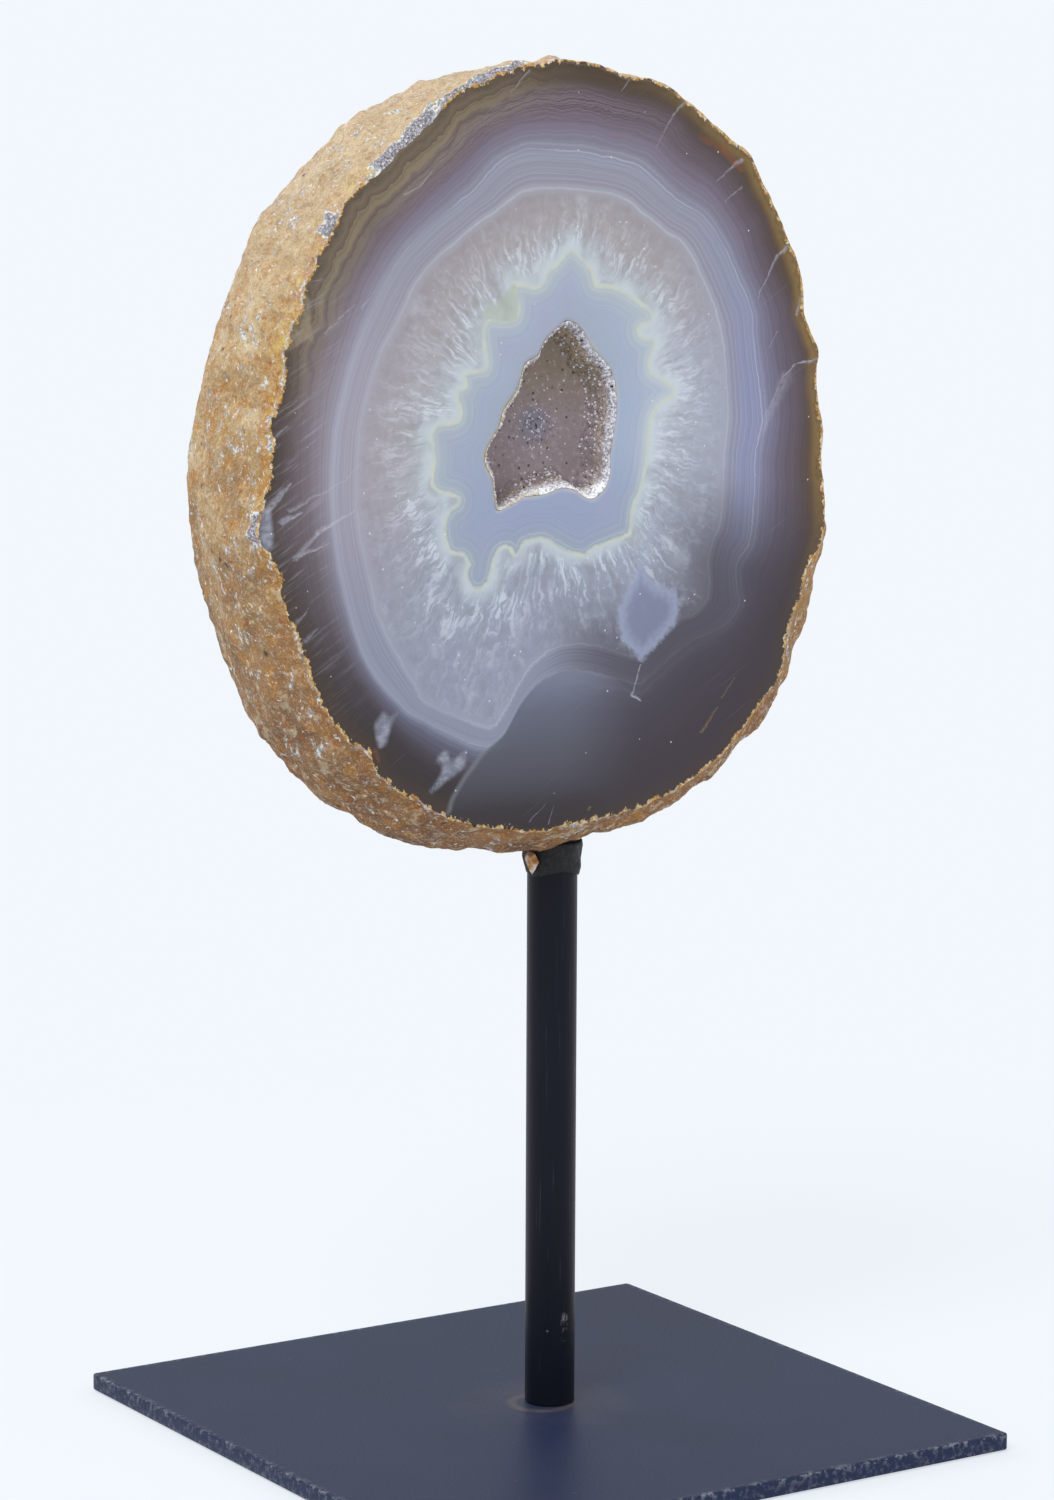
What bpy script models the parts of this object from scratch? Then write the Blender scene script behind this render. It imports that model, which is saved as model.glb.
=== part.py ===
"""Polished agate geode on a steel rod and a square steel base plate.

The stone is a thick slab sawn from a nodule. Its polished face looks along -Y and stands
upright and parallel to one edge of the plate. The rod stands on the plate and ends in a
socket drilled into the stone from below. A thin collar of black adhesive closes the joint,
with a flake of the stone's rind stuck in it. The small hollow in the face is lined with one
crust of fine crystals.

Units are metres, +Z is up, and the origin is the middle of the plate's underside.
"""

import bisect
import math
import random

import bmesh
import bpy
from mathutils import Vector, noise

MM = 0.001

# Clearance between neighbouring pieces
GAP = 0.3 * MM

# Base plate, five inches square, cut from eighth-inch steel
PLATE_SIDE = 127.0 * MM
PLATE_THICKNESS = 3.2 * MM
PLATE_EDGE_BREAK = 0.25 * MM

# Rod, three-eighths-inch steel bar, a little off the middle of the plate
ROD_DIAMETER = 9.525 * MM
ROD_X = 2.3 * MM
ROD_Y = 0.4 * MM
ROD_TOP = 124.0 * MM
ROD_CHAMFER = 0.5 * MM
ROD_SIDES = 64

# Seat ground flat on the stone round the drilled socket
SEAT_LEVEL = 112.6 * MM
SEAT_RADIUS = 6.6 * MM

# Collar of adhesive round the top of the rod
COLLAR_BOTTOM = 106.4 * MM
COLLAR_WALL = 0.55 * MM
COLLAR_LUMP = 0.35 * MM
COLLAR_SIDES = 48
COLLAR_LEVELS = 7

# Stone flake held in the collar: bearing round the rod, height and size
FLAKE_BEARING = math.radians(198.8)
FLAKE_LEVEL = 108.7 * MM
FLAKE_WIDTH = 3.4 * MM
FLAKE_HEIGHT = 4.4 * MM
FLAKE_THICKNESS = 1.3 * MM

# Slab of stone
FACE_Y = -14.5 * MM
SLAB_THICKNESS = 30.0 * MM
STONE_CENTRE = (-8.0, 190.0)
RIM_STEPS = 144
OUTLINE_EASE_DEPTH = 9.0
OUTLINE_EASE_STEPS = 6
LUMP_SIZE = 13.0 * MM
LUMP_HEIGHT = 0.9 * MM
GRIT_SIZE = 4.5 * MM
GRIT_HEIGHT = 0.35 * MM

# Outline of the polished face, (x, z) in millimetres, clockwise from the top
FACE_OUTLINE = (
    (-12, 257.0), (-5, 257.6), (0, 257.0), (5, 255.6), (10, 254.6), (15, 253.8), (20, 251.2),
    (25, 247.8), (30, 244.2), (35.5, 240.6), (38, 236.8), (41, 231.5), (44.6, 225.2),
    (46.6, 221.6), (48, 217.6), (48.4, 213), (50, 207.6), (52, 204.2), (51.8, 199.5),
    (52.4, 193.5), (53.4, 187), (53.3, 182), (54.2, 175), (54, 169), (52.5, 165.5),
    (50.2, 162.5), (48.5, 157), (46.2, 152.5), (45.3, 147), (43.7, 141.8), (39.5, 137),
    (34.5, 131.5), (29, 126.8), (22.5, 123.4), (15, 120.4), (7, 118.8), (0, 118),
    (-6, 117.3), (-12, 117), (-20, 118.6), (-28, 120.4), (-35, 123.8), (-42, 127.5),
    (-46, 131.5), (-47.4, 135), (-51, 136.8), (-54.5, 140), (-57, 144.5), (-59.5, 150),
    (-61.5, 155.5), (-64, 161), (-65.4, 167), (-68.3, 171.5), (-70.3, 175.5), (-69.2, 179),
    (-67.4, 184), (-66.9, 190), (-67.6, 194.5), (-65, 198), (-64.6, 203), (-63.8, 208),
    (-61, 214.5), (-60.2, 218), (-58, 222), (-55.6, 226.4), (-53, 230), (-50.6, 234),
    (-46, 237.3), (-42, 240), (-37.5, 243.9), (-32.5, 248.1), (-28.8, 251.4), (-24, 253.5),
    (-18, 255.6),
)

# How far the rind stands out from the face outline, in millimetres, at SWELL_DEPTHS behind
# the face, for each 30 degrees counter-clockwise from +X
SWELL_DEPTHS = (0.0, 5.0, 12.0, 20.0, 30.0)
RIND_SWELL = (
    (0.0, 1.5, 3.0, 3.0, 1.0),
    (0.0, 1.0, 2.0, 1.5, -1.0),
    (0.0, 0.5, 1.0, 0.0, -3.0),
    (0.0, 0.2, -0.4, -1.4, -4.2),
    (0.0, 1.2, 2.6, 2.0, -2.0),
    (0.0, 1.4, 2.6, 2.6, -2.4),
    (0.0, 1.4, 2.2, 1.8, -1.4),
    (0.0, 1.8, 3.4, 3.2, -0.4),
    (0.0, 3.0, 5.6, 6.0, 3.0),
    (0.0, 3.0, 5.0, 5.5, 2.7),
    (0.0, 5.0, 6.8, 6.4, 3.0),
    (0.0, 6.2, 7.6, 7.2, 4.0),
)
RING_DEPTHS = (0.0, 1.5, 4.0, 7.5, 11.5, 16.0, 20.5, 25.0, 28.5, 30.0)

# Pits broken into the rind: bearing in degrees, depth behind the face, radius and
# hollowing in millimetres
RIND_PITS = (
    (158.3, 4.5, 2.6, 1.4),
    (148.0, 7.5, 2.0, 1.0),
    (170.0, 15.0, 2.6, 0.9),
    (209.0, 8.0, 3.0, 0.9),
    (232.0, 16.0, 3.2, 1.0),
    (20.0, 14.0, 3.4, 1.1),
    (318.0, 19.0, 3.6, 1.2),
    (80.0, 18.0, 3.0, 1.0),
)

# Hollow in the face, (x, z) in millimetres, clockwise from its top
HOLLOW_CENTRE = (-8.0, 192.0)
HOLLOW_OUTLINE = (
    (-5, 210.8), (-2, 209.5), (0.5, 206), (2.7, 203.9), (5, 201.5), (6, 198), (6.2, 195),
    (5.6, 190), (4.9, 186), (4.6, 181.5), (2.6, 178.7), (0, 178), (-3, 179.8), (-6, 180.2),
    (-10, 179.2), (-14, 179), (-17.5, 177.4), (-19.8, 176.8), (-20.4, 179), (-21, 182.5),
    (-22.4, 185), (-22.6, 187.2), (-21.2, 189.8), (-19.6, 192), (-18.6, 195), (-16.2, 198),
    (-15, 200.5), (-14, 203.2), (-11.2, 204.8), (-9.8, 207.3), (-7.4, 209.3),
)
HOLLOW_STEPS = 72

# Wall of the hollow: inset from its outline and depth behind the face, in millimetres
HOLLOW_WALL = ((0.0, 0.0), (0.3, 1.6), (0.7, 4.2), (1.5, 6.0), (3.4, 6.9), (7.0, 7.1))

# Upper side of the crystal crust, as inset and depth, and the height of its crystals
CRUST_TOP = ((1.3, 0.25), (1.6, 1.8), (2.1, 3.6), (3.2, 5.0), (5.2, 5.7), (7.6, 5.8))
CRYSTAL_HEIGHT = (0.15 * MM, 0.6 * MM)
CRYSTAL_SEED = 11

# Finishes: colour, roughness, metallic value
FINISHES = {
    "steel_plate": ((0.075, 0.078, 0.110), 0.50, 0.0),
    "steel_rod": ((0.018, 0.020, 0.028), 0.48, 0.0),
    "adhesive": ((0.012, 0.012, 0.013), 0.70, 0.0),
    "rind": ((0.480, 0.270, 0.090), 0.85, 0.0),
    "agate": ((0.330, 0.320, 0.370), 0.22, 0.0),
    "druse": ((0.520, 0.450, 0.420), 0.35, 0.0),
}


def clear_scene():
    """Remove every object that the file starts with."""
    for old in list(bpy.data.objects):
        bpy.data.objects.remove(old, do_unlink=True)


def finish(name):
    """Return the Principled material of one finish."""
    colour, roughness, metallic = FINISHES[name]
    material = bpy.data.materials.new(name)
    material.use_nodes = True
    shader = material.node_tree.nodes["Principled BSDF"]
    shader.inputs["Base Color"].default_value = (*colour, 1.0)
    shader.inputs["Roughness"].default_value = roughness
    shader.inputs["Metallic"].default_value = metallic
    return material


def add_object(name, bm, finish_name, smooth_angle=None):
    """Turn a bmesh into a named object with outward faces and one finish."""
    bmesh.ops.recalc_face_normals(bm, faces=bm.faces)
    mesh = bpy.data.meshes.new(name)
    bm.to_mesh(mesh)
    bm.free()
    if smooth_angle is not None:
        mesh.shade_smooth()
        mesh.set_sharp_from_angle(angle=smooth_angle)
    obj = bpy.data.objects.new(name, mesh)
    bpy.context.scene.collection.objects.link(obj)
    mesh.materials.append(finish(finish_name))
    return obj


def blend(xs, ys, x):
    """Read a smooth curve through the points (xs, ys) at x."""
    i = min(max(bisect.bisect_right(xs, x) - 1, 0), len(xs) - 2)
    span = xs[i + 1] - xs[i]
    t = min(max((x - xs[i]) / span, 0.0), 1.0)
    before = ys[i - 1] if i > 0 else ys[i]
    after = ys[i + 2] if i + 2 < len(ys) else ys[i + 1]
    a = (ys[i + 1] - before) * 0.5
    b = (after - ys[i]) * 0.5
    return ((2 * t**3 - 3 * t**2 + 1) * ys[i] + (t**3 - 2 * t**2 + t) * a
            + (3 * t**2 - 2 * t**3) * ys[i + 1] + (t**3 - t**2) * b)


def polar_outline(points, centre, steps):
    """Read an outline's radius, in metres, at even bearings round a centre."""
    polar = []
    for x, z in points:
        dx, dz = x - centre[0], z - centre[1]
        polar.append((math.atan2(dz, dx) % math.tau, math.hypot(dx, dz) * MM))
    polar.sort()
    bearings = [polar[-1][0] - math.tau] + [p[0] for p in polar] + [polar[0][0] + math.tau]
    radii = [polar[-1][1]] + [p[1] for p in polar] + [polar[0][1]]
    return [blend(bearings, radii, math.tau * i / steps) for i in range(steps)]


def eased(radii, reach):
    """Return the radii averaged over a reach of neighbours to each side."""
    count = len(radii)
    window = range(-reach, reach + 1)
    return [sum(radii[(i + k) % count] for k in window) / len(window) for i in range(count)]


def at(centre, bearing, radius, depth):
    """Place a point at a bearing and radius in the face's plane, and a depth behind it."""
    x = centre[0] * MM + radius * math.cos(bearing)
    z = centre[1] * MM + radius * math.sin(bearing)
    return Vector((x, FACE_Y + depth, z))


def rind_swell(bearing, depth):
    """Return how far the rind stands out at a bearing and a depth in millimetres."""
    rows = len(RIND_SWELL)
    turn = (bearing % math.tau) / math.tau * rows
    low = int(turn) % rows
    values = []
    for offset in (-1, 0, 1, 2):
        values.append(blend(SWELL_DEPTHS, RIND_SWELL[(low + offset) % rows], depth))
    return blend((-1.0, 0.0, 1.0, 2.0), values, turn - int(turn)) * MM


def rind_relief(point, bearing, depth):
    """Return the height of lumps and pits at a point of the rind."""
    fade = min(depth / 3.0, 1.0) * min((SLAB_THICKNESS / MM - depth) / 2.0, 1.0)
    height = noise.noise(point / LUMP_SIZE) * LUMP_HEIGHT
    height += noise.noise(point / GRIT_SIZE) * GRIT_HEIGHT
    for pit_bearing, pit_depth, radius, hollow in RIND_PITS:
        across = math.degrees(bearing) - pit_bearing
        away = math.hypot((across + 180) % 360 - 180, depth - pit_depth) / radius
        if away < 1.0:
            height -= hollow * MM * (1.0 - away * away)
    return height * fade


def ring(bm, points):
    """Add a loop of vertices."""
    return [bm.verts.new(point) for point in points]


def skin(bm, lower, upper):
    """Join two loops of the same length with quads and return them."""
    count = len(lower)
    faces = []
    for i in range(count):
        j = (i + 1) % count
        faces.append(bm.faces.new((lower[i], lower[j], upper[j], upper[i])))
    return faces


def fan(bm, loop, middle):
    """Close a loop with triangles round a middle point."""
    centre = bm.verts.new(middle)
    for i, vertex in enumerate(loop):
        bm.faces.new((vertex, loop[(i + 1) % len(loop)], centre))
    return centre


def hollow_loop(radii, inset, depth):
    """Return the points of one level of the hollow, in metres."""
    points = []
    for i, radius in enumerate(radii):
        bearing = math.tau * i / len(radii)
        points.append(at(HOLLOW_CENTRE, bearing, radius - inset, depth))
    return points


def cylinder(name, radius, bottom, top, sides):
    """Return a bmesh cylinder that stands on the rod's axis."""
    bm = bmesh.new()
    loops = []
    for level in (bottom, top):
        loops.append(ring(bm, [
            Vector((ROD_X + radius * math.cos(math.tau * i / sides),
                    ROD_Y + radius * math.sin(math.tau * i / sides), level))
            for i in range(sides)]))
    skin(bm, loops[0], loops[1])
    bm.faces.new(loops[0])
    bm.faces.new(loops[1])
    bm.normal_update()
    return bm


def make_plate():
    """Make the square base plate with lightly broken edges."""
    bm = bmesh.new()
    bmesh.ops.create_cube(bm, size=1.0)
    bmesh.ops.scale(bm, vec=(PLATE_SIDE, PLATE_SIDE, PLATE_THICKNESS), verts=bm.verts)
    bmesh.ops.translate(bm, vec=(0, 0, PLATE_THICKNESS / 2), verts=bm.verts)
    plate = add_object("base_plate", bm, "steel_plate")
    edge = plate.modifiers.new("Broken edges", "BEVEL")
    edge.width = PLATE_EDGE_BREAK
    edge.segments = 2
    return plate


def make_rod():
    """Make the upright rod, with a chamfer at its hidden top end."""
    bm = cylinder("rod", ROD_DIAMETER / 2, PLATE_THICKNESS + GAP, ROD_TOP, ROD_SIDES)
    top_edges = [e for e in bm.edges if all(v.co.z > ROD_TOP - GAP for v in e.verts)]
    bmesh.ops.bevel(bm, geom=top_edges, offset=ROD_CHAMFER, segments=1, affect="EDGES")
    return add_object("rod", bm, "steel_rod", smooth_angle=math.radians(35))


def collar_wall(bearing, level):
    """Return the collar's wall thickness at a bearing and a height from 0 to 1."""
    lump = noise.noise(Vector((2.0 * math.cos(bearing), 2.0 * math.sin(bearing), 5.0 * level)))
    foot = 0.55 + 0.45 * min(level * 3.0, 1.0)
    return (COLLAR_WALL + COLLAR_LUMP * lump) * foot


def make_collar():
    """Make the thin lumpy collar of adhesive under the stone."""
    bm = bmesh.new()
    inner_radius = ROD_DIAMETER / 2 + GAP
    top = SEAT_LEVEL - GAP
    inner, outer = [], []
    for level in range(COLLAR_LEVELS):
        part = level / (COLLAR_LEVELS - 1)
        inside, outside = [], []
        for i in range(COLLAR_SIDES):
            bearing = math.tau * i / COLLAR_SIDES
            drip = 0.5 * MM * math.sin(3 * bearing + 0.7) * (1.0 - part)
            height = COLLAR_BOTTOM + part * (top - COLLAR_BOTTOM) + drip
            outer_radius = inner_radius + collar_wall(bearing, part)
            spoke = Vector((math.cos(bearing), math.sin(bearing), 0))
            base = Vector((ROD_X, ROD_Y, height))
            inside.append(base + spoke * inner_radius)
            outside.append(base + spoke * outer_radius)
        inner.append(ring(bm, inside))
        outer.append(ring(bm, outside))
    for level in range(COLLAR_LEVELS - 1):
        skin(bm, outer[level], outer[level + 1])
        skin(bm, inner[level + 1], inner[level])
    skin(bm, inner[0], outer[0])
    skin(bm, outer[-1], inner[-1])
    return add_object("adhesive_collar", bm, "adhesive")


def make_flake():
    """Make the pointed flake of rind that is stuck to the collar."""
    inner = ROD_DIAMETER / 2 + GAP + COLLAR_WALL + COLLAR_LUMP + GAP
    outline = (
        (-0.50, 0.30), (-0.18, 0.50), (0.22, 0.42), (0.50, 0.08), (0.28, -0.22),
        (0.02, -0.50), (-0.24, -0.18),
    )
    bm = bmesh.new()
    outward = Vector((math.cos(FLAKE_BEARING), math.sin(FLAKE_BEARING), 0))
    sideways = Vector((-outward.y, outward.x, 0))
    origin = Vector((ROD_X, ROD_Y, FLAKE_LEVEL)) + outward * inner
    back = ring(bm, [origin + sideways * (u * FLAKE_WIDTH) + Vector((0, 0, v * FLAKE_HEIGHT))
                     for u, v in outline])
    front = ring(bm, [origin + sideways * (u * 0.6 * FLAKE_WIDTH)
                      + Vector((0, 0, v * 0.7 * FLAKE_HEIGHT))
                      + outward * FLAKE_THICKNESS * (0.6 + 0.3 * v) for u, v in outline])
    skin(bm, back, front)
    bm.faces.new(back)
    fan(bm, front, origin + outward * FLAKE_THICKNESS)
    return add_object("stone_flake", bm, "rind")


def stone_rings(bm):
    """Add the loops of the rind from the face to the sawn back."""
    radii = polar_outline(FACE_OUTLINE, STONE_CENTRE, RIM_STEPS)
    soft_radii = eased(radii, OUTLINE_EASE_STEPS)
    loops = []
    for depth in RING_DEPTHS:
        ease = min(depth / OUTLINE_EASE_DEPTH, 1.0)
        points = []
        for i in range(RIM_STEPS):
            bearing = math.tau * i / RIM_STEPS
            bare = radii[i] + ease * (soft_radii[i] - radii[i]) + rind_swell(bearing, depth)
            point = at(STONE_CENTRE, bearing, bare, depth * MM)
            relief = rind_relief(point, bearing, depth)
            points.append(at(STONE_CENTRE, bearing, bare + relief, depth * MM))
        loops.append(ring(bm, points))
    return loops


def face_to_hollow(bm, rim, mouth):
    """Close the face between its rim and the hollow, which has half as many points."""
    ratio = RIM_STEPS // HOLLOW_STEPS
    for i in range(HOLLOW_STEPS):
        a, b = mouth[i], mouth[(i + 1) % HOLLOW_STEPS]
        p, q = rim[ratio * i], rim[ratio * i + 1]
        r = rim[(ratio * i + ratio) % RIM_STEPS]
        bm.faces.new((a, p, q))
        bm.faces.new((a, q, b))
        bm.faces.new((b, q, r))


def make_stone():
    """Make the geode: rind, polished face with its hollow, sawn back and drilled socket."""
    bm = bmesh.new()
    loops = stone_rings(bm)
    for nearer, farther in zip(loops, loops[1:]):
        skin(bm, nearer, farther)
    fan(bm, loops[-1], at(STONE_CENTRE, 0, 0, SLAB_THICKNESS))
    radii = polar_outline(HOLLOW_OUTLINE, HOLLOW_CENTRE, HOLLOW_STEPS)
    walls = [ring(bm, hollow_loop(radii, inset * MM, depth * MM)) for inset, depth in HOLLOW_WALL]
    for nearer, farther in zip(walls, walls[1:]):
        skin(bm, nearer, farther)
    fan(bm, walls[-1], at(HOLLOW_CENTRE, 0, 0, HOLLOW_WALL[-1][1] * MM))
    face_to_hollow(bm, loops[0], walls[0])
    stone = add_object("geode", bm, "agate")
    stone.data.materials.append(finish("rind"))
    for polygon in stone.data.polygons:
        polygon.material_index = 0 if abs(polygon.normal.y) > 0.7 else 1
    drill = drill_cutter()
    cut = stone.modifiers.new("Socket", "BOOLEAN")
    cut.operation = "DIFFERENCE"
    cut.solver = "EXACT"
    cut.object = drill
    return stone


def drill_cutter():
    """Make the cutter of the socket and of the flat seat ground round it."""
    below = 12.0 * MM
    bm = bmesh.new()
    profile = (
        (SEAT_RADIUS, SEAT_LEVEL - below), (SEAT_RADIUS, SEAT_LEVEL),
        (ROD_DIAMETER / 2 + GAP, SEAT_LEVEL), (ROD_DIAMETER / 2 + GAP, ROD_TOP + GAP),
    )
    loops = []
    for radius, level in profile:
        loops.append(ring(bm, [
            Vector((ROD_X + radius * math.cos(math.tau * i / ROD_SIDES),
                    ROD_Y + radius * math.sin(math.tau * i / ROD_SIDES), level))
            for i in range(ROD_SIDES)]))
    for lower, upper in zip(loops, loops[1:]):
        skin(bm, lower, upper)
    bm.faces.new(loops[0])
    bm.faces.new(loops[-1])
    cutter = add_object("socket_cutter", bm, "agate")
    cutter.hide_render = True
    cutter.display_type = "WIRE"
    return cutter


def make_crust():
    """Make the crust of small pointed crystals that lines the hollow."""
    rng = random.Random(CRYSTAL_SEED)
    radii = polar_outline(HOLLOW_OUTLINE, HOLLOW_CENTRE, HOLLOW_STEPS)
    bm = bmesh.new()
    under = []
    for inset, depth in HOLLOW_WALL:
        level = max(depth * MM - GAP, CRUST_TOP[0][1] * MM)
        under.append(ring(bm, hollow_loop(radii, inset * MM + GAP, level)))
    over = [ring(bm, hollow_loop(radii, inset * MM, depth * MM)) for inset, depth in CRUST_TOP]
    for nearer, farther in zip(under, under[1:]):
        skin(bm, farther, nearer)
    fan(bm, under[-1], at(HOLLOW_CENTRE, 0, 0, HOLLOW_WALL[-1][1] * MM - GAP))
    skin(bm, under[0], over[0])
    lining = []
    for nearer, farther in zip(over, over[1:]):
        lining += skin(bm, nearer, farther)
    fan(bm, over[-1], at(HOLLOW_CENTRE, 0, 0, CRUST_TOP[-1][1] * MM))
    bmesh.ops.recalc_face_normals(bm, faces=bm.faces)
    tips = bmesh.ops.poke(bm, faces=lining)["verts"]
    bm.normal_update()
    for tip in tips:
        tip.co += tip.normal * rng.uniform(*CRYSTAL_HEIGHT)
    return add_object("crystal_crust", bm, "druse")


def main():
    """Build every piece of the stand and the stone."""
    clear_scene()
    make_plate()
    make_rod()
    make_collar()
    make_flake()
    make_stone()
    make_crust()


main()
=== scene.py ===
"""Looks of a polished agate geode on a steel rod and a square base plate.

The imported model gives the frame: +Z is up, the polished face looks along -Y, and the origin is
the middle of the plate's underside. Sizes here are in millimetres, and meshes are in metres.
"""

import logging
import math
import random
from dataclasses import dataclass, field
from enum import Enum
from typing import Dict, List, Optional, Sequence, Tuple, Union

import bmesh
import bpy
import numpy as np
from mathutils import Matrix, Vector, noise


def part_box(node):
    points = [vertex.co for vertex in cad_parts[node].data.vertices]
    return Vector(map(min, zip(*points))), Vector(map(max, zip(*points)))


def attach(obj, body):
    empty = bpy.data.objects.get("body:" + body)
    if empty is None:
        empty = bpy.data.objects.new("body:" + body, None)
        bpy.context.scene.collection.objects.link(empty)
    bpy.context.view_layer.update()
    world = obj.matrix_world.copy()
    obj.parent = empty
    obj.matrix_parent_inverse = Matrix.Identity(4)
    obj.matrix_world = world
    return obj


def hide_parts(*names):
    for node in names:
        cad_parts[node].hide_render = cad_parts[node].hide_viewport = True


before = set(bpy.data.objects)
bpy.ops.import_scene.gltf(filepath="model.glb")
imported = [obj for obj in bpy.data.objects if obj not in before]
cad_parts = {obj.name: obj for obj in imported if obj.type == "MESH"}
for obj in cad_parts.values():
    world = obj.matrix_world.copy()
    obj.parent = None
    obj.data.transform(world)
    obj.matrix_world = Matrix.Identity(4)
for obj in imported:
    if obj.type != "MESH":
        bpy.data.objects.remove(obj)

MM = 0.001
RIM_BAND = 5.0            # band value at the stone's edge; the hollow's edge has 0
OUTSIDE = -9.0            # stored off the face, in place of a depth inside a patch
FAR_OUTSIDE = -99.0       # stored off the face, in place of the depth inside a line
WELL_INSIDE = 9.0         # stored off the face, in place of the distance from the edge
WRAP_RADIUS = 62.0        # turns bearings into millimetres along the rind
BACK_SPREAD = 5.2         # band value of the back's edge before it is cut to RIM_BAND
LOG = logging.getLogger("geode")

Pair = Tuple[float, float]
Triple = Tuple[float, float, float]
Colour = Tuple[float, float, float, float]
Socket = bpy.types.NodeSocket


class Body(Enum):
    """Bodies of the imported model."""

    ROOT = "root"


class Surface(Enum):
    """Material slots of the stone's mesh."""

    FACE = 0
    RIND = 1
    BACK = 2


class Hue(Enum):
    """Named colours that several finishes share."""

    FROST = "#c6ced9"
    WHITE = "#f2f2f0"
    RUST = "#8a4c20"
    STRAW = "#8f7b3c"
    VEIN = "#b3b3c0"
    SOOT = "#121116"
    PAPER = "#f2f7fd"


Tone = Union[Hue, str, Colour]
Value = Union[float, Sequence[float], Tone, Socket]


def linear(tone: Tone, gain: float = 1.0) -> Colour:
    """Turn a named or written colour into scene-linear values.

    Args:
        tone: The colour, as a Hue, as "#rrggbb" or already linear.
        gain: A factor on the linear values of a Hue or a written colour.

    Returns:
        Linear red, green, blue and an alpha of 1.
    """
    if isinstance(tone, tuple):
        return tone
    text = tone.value if isinstance(tone, Hue) else tone
    parts = [int(text[i:i + 2], 16) / 255.0 for i in (1, 3, 5)]
    values = [c / 12.92 if c <= 0.04045 else ((c + 0.055) / 1.055) ** 2.4 for c in parts]
    return (values[0] * gain, values[1] * gain, values[2] * gain, 1.0)


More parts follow.
